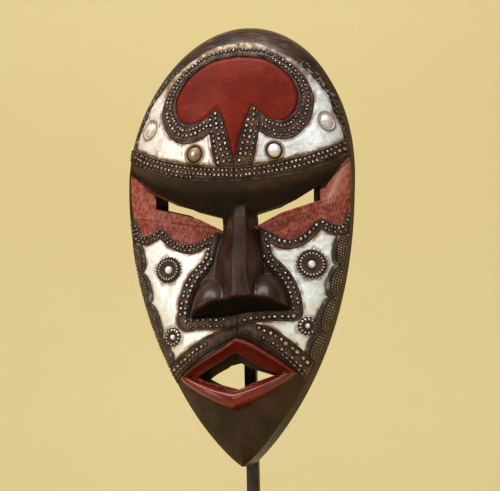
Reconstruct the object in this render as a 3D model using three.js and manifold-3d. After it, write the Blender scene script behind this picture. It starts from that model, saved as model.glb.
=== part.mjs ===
// Carved wooden face mask with embossed metal strips, held up by a steel rod on a square foot.
// Millimetres, +Z up, the mask looks along -Y. The origin is on the floor under the middle of the foot.
import * as THREE from 'three';
import Module from 'manifold-3d';
import { mergeVertices } from 'three/addons/utils/BufferGeometryUtils.js';

const wasm = await Module();
wasm.setup();

// Driving dimensions of the mask. Heights run up from its middle, depths forward from its flat back.
const TOP = 171;
const TIP = -166;
const HALF_WIDTH = 86;
const WIDEST_AT = 52;
const CHIN_ABOVE_FLOOR = 84;
const BACK_BEHIND_FOOT_FRONT = 88;

// Relief of the face
const RIM_DEPTH = 33;
const FOREHEAD_DEPTH = 67;
const BROW_EDGE = 43.5;
const BROW_RISE = 23.3;
const LID_EDGE = 14;
const HEART_RAISE = 1.6;
const CHIN_UNEVENNESS = 2.6;
const EYE_UNEVENNESS = 1.4;

// Metal on the face
const GAP = 0.3;
const SHEET_THICK = 0.8;
const BAND_THICK = 1.9;
const STRIP_THICK = 1.3;
const CLEARANCE = 0.35;

// Stand
const FOOT_SIDE = 130;
const FOOT_THICK = 8;
const FOOT_BEVEL = 0.8;
const ROD_SIDE = 9;
const ROD_X = -1.4;
const CROSSBAR_THICK = 4;
const CROSSBAR_HEIGHT = 16;
const CROSSBAR_LENGTH = 158;
const CROSSBAR_AT = 62;
const HOOK_REACH = 12;
const HOOK_BELOW_ROOF = 4.5;

const mix = (a, b, t) => a + (b - a) * t;
const clamp = (t) => Math.min(1, Math.max(0, t));
const ease = (t) => clamp(t) ** 2 * (3 - 2 * clamp(t));
const bell = (t) => Math.exp(-t * t);

// Straight lines through [position, value] pairs
function along(pairs, position) {
  const next = pairs.findIndex(([at]) => at >= position);
  if (next === 0) return pairs[0][1];
  if (next < 0) return pairs.at(-1)[1];
  const [[a, low], [b, high]] = [pairs[next - 1], pairs[next]];
  return mix(low, high, (position - a) / (b - a));
}

// The egg-shaped outline, widest above the eyes and pointed at the chin
function halfWidth(y) {
  const up = clamp((y - WIDEST_AT) / (TOP - WIDEST_AT));
  const down = clamp((WIDEST_AT - y) / (WIDEST_AT - TIP));
  return HALF_WIDTH * Math.sqrt(1 - up ** 1.95) * (1 - down ** 2.15) ** 0.85;
}

// The outline and the carving lean a little: the brow to the viewer's right, the chin to the left
const lean = (y) => 6 * ease((y - 30) / 140) - 2.4;
const drift = (y) => 2.5 * ease((y - 30) / 130) - 4.2 * ease((-45 - y) / 80);
const sideTaper = (y) => 1.2 * bell((y + 10) / 75);

function rimDepth(y) {
  const up = clamp((y - WIDEST_AT) / (TOP - WIDEST_AT));
  const down = clamp((WIDEST_AT - y) / (WIDEST_AT - TIP));
  return RIM_DEPTH - 11 * up ** 1.5 + 8 * ease((down - 0.62) / 0.25);
}

// Lower edge of the brow band, and the line above the eye slits where the brow's underside ends
const browLine = (x) => BROW_EDGE + BROW_RISE * (Math.abs(x) / 84) ** 2.2;
const lidLine = (x) => LID_EDGE + 0.44 * Math.abs(x) + 0.52 * Math.max(0, Math.abs(x) - 63);

function forehead(x, y) {
  const up = clamp((y - WIDEST_AT) / (TOP - WIDEST_AT));
  const away = clamp((x / halfWidth(Math.min(y, WIDEST_AT))) ** 2 + up ** 1.95);
  const crown = FOREHEAD_DEPTH - 5 * (Math.max(0, 85 - y) / 43) ** 2;
  return mix(rimDepth(y), crown, (1 - away) ** 0.55);
}

const MIDLINE = [[TIP, 43], [-150, 51], [-125, 58], [-100, 60], [-75, 60], [-50, 58], [-20, 54], [15, 50], [70, 50]];

function cheeks(x, y) {
  const across = clamp(Math.abs(x) / Math.max(halfWidth(y), 1e-6));
  const roundness = mix(2.2, 1.35, ease((-108 - y) / 32));
  const socket = 4 * bell((y - lidLine(x) + 7) / 12) * (1 - across ** 4);
  const shoulder = mix(0.62, 0.85, ease((-105 - y) / 30));
  return mix(rimDepth(y), along(MIDLINE, y), (1 - across ** roundness) ** shoulder) - socket;
}

// Front of the wood before nose, lips and heart
function surface(x, y) {
  if (y >= browLine(x)) return forehead(x, y);
  if (y <= lidLine(x)) return cheeks(x, y);
  const drop = (browLine(x) - y) / (browLine(x) - lidLine(x));
  return mix(forehead(x, browLine(x)), cheeks(x, lidLine(x)), ease(drop * 0.5 + 0.25) * 1.45 - 0.226);
}

// The carver's hand: what is on the viewer's right sits a little higher beside the mouth and the eyes
const unevenness = (y) => CHIN_UNEVENNESS * bell((y + 70) / 26) + EYE_UNEVENNESS * bell((y - 16) / 16);
const uneven = (x, y) => Math.tanh(x / 9) * unevenness(y);
const onFace = (x, y) => [x + drift(y), y + uneven(x, y)];
const depthAt = ([x, y]) => surface(x - lean(y), y);

// Closed solid between a front and a back surface over a grid of u and v, or a ring where u comes round
function slab(us, vs, front, back, ring = false) {
  const columns = us.length;
  const rows = vs.length;
  const positions = [];
  for (const side of [front, back]) {
    for (const v of vs) for (const u of us) positions.push(...side(u, v));
  }
  const at = (side, i, j) => side * columns * rows + j * columns + (i % columns);
  const faces = [];
  const quad = (a, b, c, d) => faces.push(a, b, c, a, c, d);
  const spans = ring ? columns : columns - 1;
  for (let j = 0; j < rows - 1; j++) {
    for (let i = 0; i < spans; i++) {
      quad(at(0, i, j), at(0, i + 1, j), at(0, i + 1, j + 1), at(0, i, j + 1));
      quad(at(1, i, j), at(1, i, j + 1), at(1, i + 1, j + 1), at(1, i + 1, j));
    }
    if (ring) continue;
    quad(at(0, 0, j), at(0, 0, j + 1), at(1, 0, j + 1), at(1, 0, j));
    quad(at(0, columns - 1, j), at(1, columns - 1, j), at(1, columns - 1, j + 1), at(0, columns - 1, j + 1));
  }
  for (let i = 0; i < spans; i++) {
    quad(at(0, i, 0), at(1, i, 0), at(1, i + 1, 0), at(0, i + 1, 0));
    quad(at(0, i, rows - 1), at(0, i + 1, rows - 1), at(1, i + 1, rows - 1), at(1, i, rows - 1));
  }
  const geometry = new THREE.BufferGeometry();
  geometry.setAttribute('position', new THREE.Float32BufferAttribute(positions, 3));
  geometry.setIndex(faces);
  return solid(geometry);
}

// A closed geometry as a solid that can be joined and cut, without the empty triangles of its poles
function solid(geometry) {
  geometry.deleteAttribute('normal');
  geometry.deleteAttribute('uv');
  const merged = mergeVertices(geometry, 1e-4);
  const index = merged.index.array;
  const kept = [];
  for (let t = 0; t < index.length; t += 3) {
    const [a, b, c] = index.slice(t, t + 3);
    if (a !== b && b !== c && c !== a) kept.push(a, b, c);
  }
  const mesh = { numProp: 3, vertProperties: merged.attributes.position.array, triVerts: new Uint32Array(kept) };
  return new wasm.Manifold(new wasm.Mesh(mesh));
}

const steps = (from, to, count) => Array.from({ length: count + 1 }, (_, k) => mix(from, to, k / count));

// Grid of the front: u runs across from rim to rim, v from chin over lid and brow to the top
function spot(u, v) {
  let y = 0;
  let x = 0;
  for (let pass = 0; pass < 12; pass++) {
    x = u * halfWidth(y);
    if (v <= 1) y = mix(TIP, Math.max(lidLine(x), TIP), 1 - (1 - v) ** 1.35);
    else if (v <= 2) y = mix(lidLine(x), browLine(x), v - 1);
    else y = mix(browLine(x), TOP, 1 - (3 - v) ** 1.5);
  }
  if (v <= 0 || v >= 3) x = 0;
  return [x, y];
}

const ACROSS = steps(-1, 1, 14).map((s) => s * (1.24 - 0.24 * s * s));
const UPWARD = [...steps(0, 1, 12), ...steps(1, 2, 2).slice(1), ...steps(2, 3, 8).slice(1)];

function skin(low, high) {
  const layer = (lift) => (u, v) => {
    const [x, y] = spot(u, v);
    return [x + lean(y), y, surface(x, y) + lift];
  };
  return slab(ACROSS, UPWARD, layer(high), layer(low));
}

// Straight prism over a closed outline in the front view
function prism(outline, low = 0, high = 100) {
  const shape = new THREE.Shape(outline.map(([x, y]) => new THREE.Vector2(x, y)));
  const geometry = new THREE.ExtrudeGeometry(shape, { depth: high - low, bevelEnabled: false });
  geometry.translate(0, 0, low);
  return solid(geometry);
}

// Smooth curve through hand-placed corners
function curve(points, count) {
  const spline = new THREE.CatmullRomCurve3(points.map(([x, y]) => new THREE.Vector3(x, y, 0)), false, 'centripetal');
  return spline.getPoints(count).map((p) => [p.x, p.y]);
}

const mirrored = (points, side) => points.map(([x, y]) => onFace(side * x, y));

// Outline of a band of even or tapering width along a path
function bandOutline(path, widths) {
  const left = [];
  const right = [];
  const pick = (k) => path[Math.min(path.length - 1, Math.max(0, k))];
  path.forEach(([x, y], k) => {
    const [ax, ay] = pick(k - 1);
    const [bx, by] = pick(k + 1);
    const length = Math.hypot(bx - ax, by - ay);
    const half = along(widths, k / (path.length - 1)) / 2;
    const [toX, toY] = [(bx - ax) / length, (by - ay) / length];
    left.push([x - toY * half, y + toX * half]);
    right.unshift([x + toY * half, y - toX * half]);
  });
  return [...left, ...right];
}

// The red heart with its long point, and the strips around it, right half
const HEART_LOBE = [[0, 142], [21, 138.5], [38, 126], [46.5, 108], [43, 94], [35, 89.5], [25, 92], [13, 101.5]];
const HEART_POINT = [[13, 101.5], [8.4, 91], [4.8, 79.3], [1.8, 67.9], [0, 61]];
const HEART_BAND = [
  [0.4, 145.8], [21.7, 142.2], [32, 136.2], [41, 129], [48.5, 118.5], [51.9, 107.8],
  [51, 96.8], [48, 90.2], [42.3, 84], [36, 82.2], [28, 84], [18.5, 89.5],
];
const HEART_BAND_WIDTH = [[0, 6.4], [0.37, 7.4], [0.57, 10.4], [0.66, 12.4], [0.8, 14.4], [0.86, 14.2], [1, 13]];
const SPIKE_BAND = [[14.6, 103.5], [14, 91], [11.6, 79.3], [9.1, 67.9], [6.9, 56]];
const SPIKE_BAND_WIDTH = [[0, 2.5], [0.25, 10.6], [0.5, 13.2], [0.75, 14], [1, 13.2]];
const BROW_BAND = [[0.6, 50.2], [25, 52.2], [50, 57], [70, 64.5], [82, 72]];
const BROW_BAND_WIDTH = [[0, 10.5], [0.5, 12.5], [1, 10]];
const FOREHEAD_FIELD = [
  [0.3, 154.4], [11, 153.4], [21, 150.2], [30, 145.8], [38, 141], [47.5, 133], [54.8, 125.5], [61.2, 117.8],
  [67.6, 108.5], [71, 98.7], [74.6, 91], [77.6, 83.4], [78.6, 76], [60, 61], [0.3, 51],
];

// Strips around eyes, nose and mouth, right half
const EYE_BAND = [
  [14, 8.5], [19, 5], [25, 1.7], [33, -1.8], [40, -2.5], [50, 1.5], [56, 7], [61, 11.6], [66, 9], [73, 7],
  [79.5, 10.5], [83.5, 22],
];
const EYE_BAND_WIDTH = [[0, 5.5], [0.15, 7.6], [0.5, 6.8], [0.75, 7.4], [1, 6]];
const NOSE_BAND = [
  [17, 6], [19.9, -2.4], [21.7, -11], [26.5, -17.8], [31.4, -23.2], [35.4, -28.8], [38.5, -35], [40.6, -42],
  [41.8, -49.5], [42, -57.2], [30, -57.6], [15, -58.2], [0.4, -58.6],
];
const NOSE_BAND_WIDTH = [[0, 4.5], [0.08, 7], [0.16, 7.6], [0.24, 9.8], [0.5, 10.2], [0.62, 9.2], [0.7, 8.6], [1, 9]];
const LIP_BAND = [[0.4, -66.2], [9, -67.4], [18, -71], [30, -77.7], [40, -85.2], [47, -91.5], [53, -99]];
const LIP_BAND_WIDTH = [[0, 5.4], [0.15, 9], [0.35, 12], [1, 12]];
const CHEEK_FIELD = [
  [61, 11.6], [66, 9], [73, 7], [83, 7], [75, -50], [62, -84], [55, -97], [47, -91.5], [40, -85.2], [30, -77.7],
  [18, -71], [12, -65], [16, -58], [42, -57.2], [41.8, -49.5], [40.6, -42], [38.5, -35], [35.4, -28.8],
  [31.4, -23.2], [26.5, -17.8], [21.7, -11], [19.9, -2.4], [19, 5], [25, 1.7], [33, -1.8], [40, -2.5], [50, 1.5],
  [56, 7],
];
const STRIP_HIGH = 5;
const STRIP_LOW = -91;
const STRIP_INSET = 0.8;
const CUSP_HEIGHTS = [STRIP_HIGH, -18, -42, -68, -89];
const CUSP_INSET = 5.6;
const LOBE_BULGE = 4.8;

// The edge strip follows the rim, with a rounded lobe towards the cheek between every two cusps
function edgeStrip(side, grow) {
  const inFromRim = (inset, y) => [side * (halfWidth(y) - inset) + lean(y), y];
  const inner = CUSP_HEIGHTS.slice(1).flatMap((low, k) => steps(0, 1, 4).slice(k ? 1 : 0).map((t) => {
    const bulge = LOBE_BULGE * Math.sqrt(Math.max(0, 1 - (2 * t - 1) ** 2));
    return inFromRim(CUSP_INSET + bulge + grow, mix(CUSP_HEIGHTS[k], low, t));
  }));
  const beyond = grow ? 3 : 0;
  const outer = steps(STRIP_LOW - beyond, STRIP_HIGH + beyond, 9).map((y) => inFromRim(STRIP_INSET - beyond, y));
  return [...inner, ...outer];
}

// Nose: a long bridge whose flat front has a faint ridge, two flared wings and a hollowed underside.
// The lines down it run from its lower edge to its top, and it leans to the viewer's right.
const BRIDGE = [[-60, 80], [-40, 80], [-20, 76.5], [0, 69], [18, 61.5], [27, 57], [34, 52]];
const LEFT_FOOT = [[-44, -17.6], [-20, -17.4], [-8, -16], [4, -13.2], [18, -10.6], [32, -7.5]];
const LEFT_EDGE = [[-44, -3.4], [-38, -1.4], [-20, -1.8], [4, -1.6], [26, -1.7], [32, -1.9]];
const NOSE_RIDGE = [[-44, 6.4], [-30, 6.2], [-8, 5.5], [16, 4.2], [32, 3.2]];
const RIGHT_EDGE = [[-44, 13.6], [-38, 12], [-23, 9.8], [0, 8.8], [12, 8.2], [24, 6.8], [32, 6]];
const RIGHT_FOOT = [[-44, 21], [-20, 19.4], [-6, 17.2], [10, 14.4], [21, 13.2], [32, 13]];
const NOSE_ROOF = 0.9;
const NOSE_TOP = 33;
const NOSE_EDGE = { middle: 2.5, half: 35, height: -41.9, drop: 8.5, power: 2.4 };
const NOSE_FOOT = -53.5;
const UNDERSIDE_POWER = 0.82;
const NOSE_BACK = 30;
const BEYOND_FOOT = 1.25;
const UNDERSIDE_FRONT = 95;
const UNDERSIDE_BACK = 20;
const WINGS = [
  { x: -19, y: -52, z: 50, wide: 17, high: 27, deep: 26 },
  { x: 20.5, y: -52, z: 50, wide: 17, high: 29, deep: 26 },
];

function wingFront(wing, x, y) {
  const reach = ((x - wing.x) / wing.wide) ** 2 + ((y - wing.y) / wing.high) ** 2;
  return wing.z + wing.deep * Math.sqrt(Math.max(0, 1 - reach));
}

function noseFront(x, y) {
  const [left, right] = [along(LEFT_EDGE, y), along(RIGHT_EDGE, y)];
  const out = Math.max((left - x) / (left - along(LEFT_FOOT, y)), (x - right) / (along(RIGHT_FOOT, y) - right), 0);
  const flank = mix(along(BRIDGE, y), depthAt(onFace(x, y)), Math.min(1, out));
  return Math.max(flank, ...WINGS.map((wing) => wingFront(wing, x, y)));
}

function nose() {
  const heights = [-60, -44, -38, -20, -8, 4, 12, 18, 27, NOSE_TOP];
  const sides = (y) => {
    const [left, right] = [along(LEFT_EDGE, y), along(RIGHT_EDGE, y)];
    const [leftOut, rightOut] = [mix(left, along(LEFT_FOOT, y), BEYOND_FOOT), mix(right, along(RIGHT_FOOT, y), BEYOND_FOOT)];
    const foot = (x) => mix(along(BRIDGE, y), depthAt(onFace(x, y)), BEYOND_FOOT) - 1;
    const flat = along(BRIDGE, y);
    const ridge = along(NOSE_RIDGE, y);
    return [[leftOut, foot(leftOut)], [left, flat], [ridge, flat + NOSE_ROOF], [right, flat], [rightOut, foot(rightOut)]];
  };
  const front = (k, y) => {
    const [x, z] = sides(y)[k];
    return [...onFace(x, y), z];
  };
  const back = (k, y) => [...front(k, y).slice(0, 2), NOSE_BACK];
  const wing = ({ x, y, z, wide, high, deep }) => {
    const ball = new THREE.SphereGeometry(1, 12, 8);
    ball.scale(wide, high, deep);
    return solid(ball.translate(...onFace(x, y), z));
  };
  const underside = (x, down) => {
    const away = Math.min(1.1, Math.abs(x - NOSE_EDGE.middle) / NOSE_EDGE.half);
    const edge = NOSE_EDGE.height - NOSE_EDGE.drop * away ** NOSE_EDGE.power;
    const high = noseFront(x, edge);
    const low = Math.min(high, depthAt(onFace(x, NOSE_FOOT)));
    const y = mix(edge, NOSE_FOOT, clamp(down));
    if (down < 0) return [...onFace(x, edge), UNDERSIDE_FRONT];
    return [...onFace(x, y), down > 1 ? UNDERSIDE_BACK : mix(high, low, down ** UNDERSIDE_POWER)];
  };
  const below = (x, down) => [underside(x, down)[0], -95, underside(x, down)[2]];
  const cutter = slab(steps(-40, 40, 10), [-1, 0, 0.35, 0.7, 1, 2], underside, below);
  return slab([0, 1, 2, 3, 4], heights, front, back).add(wing(WINGS[0])).add(wing(WINGS[1])).subtract(cutter);
}

// Lips: a diamond ring. The upper lip has a sharp crest near its outer edge, the lower one is full.
const LIP_OUTER = { wide: 44.6, high: -70.9, low: -123.5, corner: -98.6 };
const LIP_INNER = { wide: 35, high: -80.3, low: -110, corner: -98 };
const UPPER_LIP = [[0, -4], [0.05, 4], [0.2, 9], [0.32, 8.6], [1, 2.6]];
const LOWER_LIP = [[0, -4], [0.07, 3.2], [0.3, 7.6], [0.6, 9.2], [1, 5.2]];
const UPPER_ROUNDNESS = 1.08;
const LOWER_ROUNDNESS = 1.2;

function diamond(edge, angle) {
  const across = Math.cos(angle);
  const up = Math.sin(angle);
  const power = up > 0 ? UPPER_ROUNDNESS : LOWER_ROUNDNESS;
  const length = (Math.abs(across) ** power + Math.abs(up) ** power) ** (-1 / power);
  const reach = up > 0 ? edge.high - edge.corner : edge.corner - edge.low;
  return [edge.wide * across * length, edge.corner + reach * up * length];
}

function lips() {
  const angles = steps(0, 2 * Math.PI, 22).slice(0, -1);
  const top = (angle, k) => {
    const share = clamp(0.5 + Math.sin(angle) * 3);
    const [t, height] = [0, 1].map((item) => mix(LOWER_LIP[k][item], UPPER_LIP[k][item], share));
    const [ax, ay] = diamond(LIP_OUTER, angle);
    const [bx, by] = diamond(LIP_INNER, angle);
    const at = onFace(mix(ax, bx, t), mix(ay, by, t));
    const thin = 1 - 0.5 * Math.abs(mix(ax, bx, t) / LIP_OUTER.wide) ** 3;
    return [...at, depthAt(at) + height * thin];
  };
  const floor = (angle, k) => [...top(angle, k).slice(0, 2), 25];
  return slab(angles.reverse(), [4, 3, 2, 1, 0], top, floor, true);
}

// The mouth is a diamond that closes in towards the back, with a bent left half
const MOUTH_FRONT = {
  depth: 82,
  lower: [[-40, LIP_INNER.corner], [-20, -104.2], [0, -110.4], [40, LIP_INNER.corner]],
  upper: [[-40, LIP_INNER.corner], [-12, -82.2], [0, -75.5], [40, LIP_INNER.corner]],
};
const MOUTH_BACK = {
  depth: 36,
  lower: [[-24, -99], [-8, -106.5], [5, -110], [26, -100.5]],
  upper: [[-24, -99], [-7.5, -91], [2, -91.5], [26, -100.5]],
};

function mouthOpening() {
  const side = ({ depth, lower, upper }) => (k, v) => [...onFace(...(v ? upper : lower)[k]), depth];
  return slab([0, 1, 2, 3], [0, 1], side(MOUTH_FRONT), side(MOUTH_BACK));
}

// Slanting eye slits, narrower towards the back at their outer ends
const SLIT_INNER_END = { x: 12.6, low: 11.5, high: 21.3 };
const SLIT_LOW_OUTSIDE = 30.5;
const SLIT_DEPTHS = { front: 72, back: 20 };
const SLIT_ENDS = {
  '-1': { front: { x: 88, high: 44 }, back: { x: 49.5, high: 38 } },
  1: { front: { x: 79, high: 42.5 }, back: { x: 48.4, high: 42.5 } },
};

function eyeSlit(side) {
  const corners = (end) => (u, v) => {
    const outer = SLIT_ENDS[side][end];
    const low = mix(SLIT_INNER_END.low, SLIT_LOW_OUTSIDE, u);
    const high = mix(SLIT_INNER_END.high, outer.high, u);
    return [...onFace(side * mix(SLIT_INNER_END.x, outer.x, u), mix(low, high, v)), SLIT_DEPTHS[end]];
  };
  const ends = side > 0 ? [0, 1] : [1, 0];
  return slab(ends, [0, 1], corners('front'), corners('back'));
}

// The hollow back follows the front at a smaller scale, which leaves walls of 12 to 16 mm
const HOLLOW_SCALE = { wide: 0.85, high: 0.9, deep: 0.755 };
const HOLLOW_MIDDLE = 2.5;

function hollow() {
  const inside = (u, v) => {
    const [x, y] = spot(u, v);
    const height = mix(HOLLOW_MIDDLE, y, HOLLOW_SCALE.high);
    return [x * HOLLOW_SCALE.wide + lean(height), height, surface(x, y) * HOLLOW_SCALE.deep];
  };
  const behind = (u, v) => [inside(u, v)[0], inside(u, v)[1], -1];
  return slab(steps(-1, 1, 8), [...steps(0, 1, 7), 1.5, ...steps(2, 3, 5)], inside, behind);
}

function heartOutline() {
  const lobe = curve(HEART_LOBE, 12);
  const point = curve(HEART_POINT, 3).slice(1);
  const half = [...lobe, ...point];
  const other = half.slice(1, -1).reverse().map(([x, y]) => [-x, y]);
  return [...half, ...other].reverse().map(([x, y]) => [x + drift(y), y]);
}

const carvedNose = nose();
const carvedLips = lips();

function maskBody() {
  const block = slab(ACROSS, UPWARD, (u, v) => {
    const [x, y] = spot(u, v);
    return [x + lean(y), y, surface(x, y)];
  }, (u, v) => {
    const [x, y] = spot(u, v);
    return [x + lean(y) - Math.sign(x) * Math.min(Math.abs(x), sideTaper(y) * Math.abs(u)), y, 0];
  });
  const heart = skin(-2, HEART_RAISE).intersect(prism(heartOutline()));
  return block.add(carvedNose).add(carvedLips).add(heart)
    .subtract(mouthOpening()).subtract(eyeSlit(1)).subtract(eyeSlit(-1)).subtract(hollow());
}

const wood = maskBody();
const sheetSkin = skin(GAP, GAP + SHEET_THICK);
const bandSkin = skin(GAP, GAP + BAND_THICK);
const stripSkin = skin(GAP, GAP + STRIP_THICK);

// A shape with a little room all round it in the front view
function room(shape) {
  const turns = steps(0, 2 * Math.PI, 4).slice(1);
  return turns.map((t) => shape.translate([CLEARANCE * Math.cos(t), CLEARANCE * Math.sin(t), 0]))
    .reduce((all, moved) => all.add(moved), shape);
}

// Each half of the metal stops short of the middle line
function half(side) {
  const seam = steps(-120, 165, 8).map((y) => [GAP, y]);
  return prism(mirrored([...seam, [120, 165], [120, -120]], side));
}

const bandPaths = {
  heart: [HEART_BAND, HEART_BAND_WIDTH, 12],
  spike: [SPIKE_BAND, SPIKE_BAND_WIDTH, 5],
  brow: [BROW_BAND, BROW_BAND_WIDTH, 6],
  eye: [EYE_BAND, EYE_BAND_WIDTH, 14],
  nose: [NOSE_BAND, NOSE_BAND_WIDTH, 12],
  lip: [LIP_BAND, LIP_BAND_WIDTH, 6],
};

function bandPrism(name, side) {
  const [points, widths, count] = bandPaths[name];
  return prism(mirrored(bandOutline(curve(points, count), widths), side)).intersect(half(side));
}

const bandRoom = (name, side) => room(bandPrism(name, side));

const lipEdge = steps(0, 2 * Math.PI, 22).slice(0, -1).map((angle) => {
  const [x, y] = diamond(LIP_OUTER, angle);
  return onFace(x, y);
});
const heartRoom = room(prism(heartOutline()));
const faceRoom = room(carvedNose).add(room(prism(lipEdge)));
const carvedRoom = faceRoom.add(heartRoom);

// Round raised work in a sheet: a turned profile set square on the surface
function turned(profile, x, y, side, lift = GAP) {
  const [px, py] = onFace(side * x, y);
  const slopeX = (depthAt([px + 1, py]) - depthAt([px - 1, py])) / 2;
  const slopeY = (depthAt([px, py + 1]) - depthAt([px, py - 1])) / 2;
  const normal = new THREE.Vector3(-slopeX, -slopeY, 1).normalize();
  const geometry = new THREE.LatheGeometry(profile.map(([r, h]) => new THREE.Vector2(r, h)), 10);
  geometry.applyQuaternion(new THREE.Quaternion().setFromUnitVectors(new THREE.Vector3(0, 1, 0), normal));
  geometry.translate(px + normal.x * lift, py + normal.y * lift, depthAt([px, py]) + normal.z * lift);
  return solid(geometry);
}

const BOSS = [[0, 0.2], [8.2, 0.2], [7, 2], [5.4, 1.3], [4, 3], [0, 4.3]];
const SMALL_BOSS = [[0, 0.2], [7.4, 0.2], [6.2, 1.8], [4.8, 1.2], [3.4, 2.8], [0, 3.8]];
const ROSETTE = [[3.4, 0.2], [11, 0.2], [10.4, 1.6], [8, 2.6], [3.4, 1.3], [3.4, 0.2]];
const LOW_ROSETTE = [[2.4, 0.2], [7.6, 0.2], [7.1, 1.5], [5.4, 2.3], [2.4, 1.2], [2.4, 0.2]];
const STUD = [[0, 0], [3, 0], [3, 1.6], [2.2, 3.3], [0, 4]];
const LOW_STUD = [[0, 0], [2, 0], [2, 1.4], [1.4, 2.6], [0, 3.1]];
const ROSETTE_AT = [54, -18];
const LOW_ROSETTE_AT = [50.4, -66.1];
const BOSS_AT = [30, 66.6];
const SMALL_BOSS_AT = [67, 89];

function foreheadSheet(side) {
  const field = prism(mirrored(FOREHEAD_FIELD, side));
  const bumps = turned(BOSS, ...BOSS_AT, side).add(turned(SMALL_BOSS, ...SMALL_BOSS_AT, side));
  const bands = ['heart', 'spike', 'brow'].map((name) => bandRoom(name, side));
  return cut(sheetSkin.intersect(field).add(bumps), [...bands, heartRoom]);
}

function cheekSheet(side) {
  const field = prism(mirrored(CHEEK_FIELD, side));
  const rings = turned(ROSETTE, ...ROSETTE_AT, side).add(turned(LOW_ROSETTE, ...LOW_ROSETTE_AT, side));
  const holes = turned([[0, -4], [3.4, -4], [3.4, 6], [0, 6]], ...ROSETTE_AT, side)
    .add(turned([[0, -4], [2.4, -4], [2.4, 6], [0, 6]], ...LOW_ROSETTE_AT, side));
  const bands = ['eye', 'nose', 'lip'].map((name) => bandRoom(name, side));
  const strip = prism(edgeStrip(side, CLEARANCE));
  return cut(sheetSkin.intersect(field).add(rings), [holes, ...bands, strip, faceRoom]);
}

function cut(whole, cutters) {
  return cutters.reduce((left, cutter) => left.subtract(cutter), whole);
}

// A band gives way to the bands laid before it
function band(name, side, before) {
  const laid = before.map((other) => bandRoom(other, side));
  return cut(bandSkin.intersect(bandPrism(name, side)), [...laid, carvedRoom]);
}

// Largest piece of a cut shape, so that no crumb is left beside it
function main(shape) {
  const pieces = shape.decompose();
  return pieces.reduce((best, piece) => (piece.volume() > best.volume() ? piece : best));
}

const stud = (side, profile, place) => turned(profile, ...place, side, GAP);

// Materials
const finish = (color, roughness, metalness) => new THREE.MeshStandardMaterial({ color, roughness, metalness });
const darkWood = finish(0x3a2b24, 0.45, 0);
const brightSheet = finish(0xc9c6c2, 0.35, 0.8);
const darkMetal = finish(0x4a4038, 0.45, 0.7);
const rawSteel = finish(0x3b3431, 0.6, 0.7);

// Middle of the leaning outline from side to side
function middleX(shape) {
  const { vertProperties } = shape.getMesh();
  const xs = Array.from(vertProperties).filter((value, k) => k % 3 === 0);
  return (Math.min(...xs) + Math.max(...xs)) / 2;
}

const object = new THREE.Group();
const mask = new THREE.Group();
mask.rotation.x = Math.PI / 2;
mask.position.set(-middleX(wood), BACK_BEHIND_FOOT_FRONT - FOOT_SIDE / 2, CHIN_ABOVE_FLOOR - TIP);
object.add(mask);

function place(name, shape, material) {
  const { vertProperties, triVerts } = main(shape).getMesh();
  const geometry = new THREE.BufferGeometry();
  geometry.setAttribute('position', new THREE.Float32BufferAttribute(vertProperties, 3));
  geometry.setIndex(Array.from(triVerts));
  geometry.computeVertexNormals();
  const mesh = new THREE.Mesh(geometry, material);
  mesh.name = name;
  mask.add(mesh);
}

place('mask_body', wood, darkWood);
for (const [side, word] of [[-1, 'left'], [1, 'right']]) {
  place(`forehead_sheet_${word}`, foreheadSheet(side), brightSheet);
  place(`cheek_sheet_${word}`, cheekSheet(side), brightSheet);
  place(`heart_band_${word}`, band('heart', side, ['spike']), darkMetal);
  place(`spike_band_${word}`, band('spike', side, ['brow']), darkMetal);
  place(`brow_band_${word}`, band('brow', side, []), darkMetal);
  place(`eye_band_${word}`, band('eye', side, ['nose']), darkMetal);
  place(`nose_band_${word}`, band('nose', side, []), darkMetal);
  place(`lip_band_${word}`, band('lip', side, ['nose']), darkMetal);
  place(`edge_strip_${word}`, stripSkin.intersect(prism(edgeStrip(side, 0)))
    .subtract(bandRoom('eye', side)).subtract(bandRoom('lip', side)), darkMetal);
  place(`rosette_stud_${word}`, stud(side, STUD, ROSETTE_AT), brightSheet);
  place(`low_rosette_stud_${word}`, stud(side, LOW_STUD, LOW_ROSETTE_AT), brightSheet);
}

// Stand: foot, rod bent forward at its top into the hollow, and a crossbar behind the temples
function addSteel(name, geometry) {
  const mesh = new THREE.Mesh(geometry, rawSteel);
  mesh.name = name;
  object.add(mesh);
}

const backPlane = BACK_BEHIND_FOOT_FRONT - FOOT_SIDE / 2;
const rodFront = backPlane + CROSSBAR_THICK + 2 * GAP;
const maskMiddle = CHIN_ABOVE_FLOOR - TIP;

const inset = FOOT_SIDE / 2 - FOOT_BEVEL;
const footShape = new THREE.Shape([[-inset, -inset], [inset, -inset], [inset, inset], [-inset, inset]]
  .map(([x, y]) => new THREE.Vector2(x, y)));
const bevel = { bevelThickness: FOOT_BEVEL, bevelSize: FOOT_BEVEL, bevelSegments: 1 };
const foot = new THREE.ExtrudeGeometry(footShape, { depth: FOOT_THICK - 2 * FOOT_BEVEL, ...bevel });
foot.translate(0, 0, FOOT_BEVEL);
addSteel('stand_foot', foot);

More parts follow.
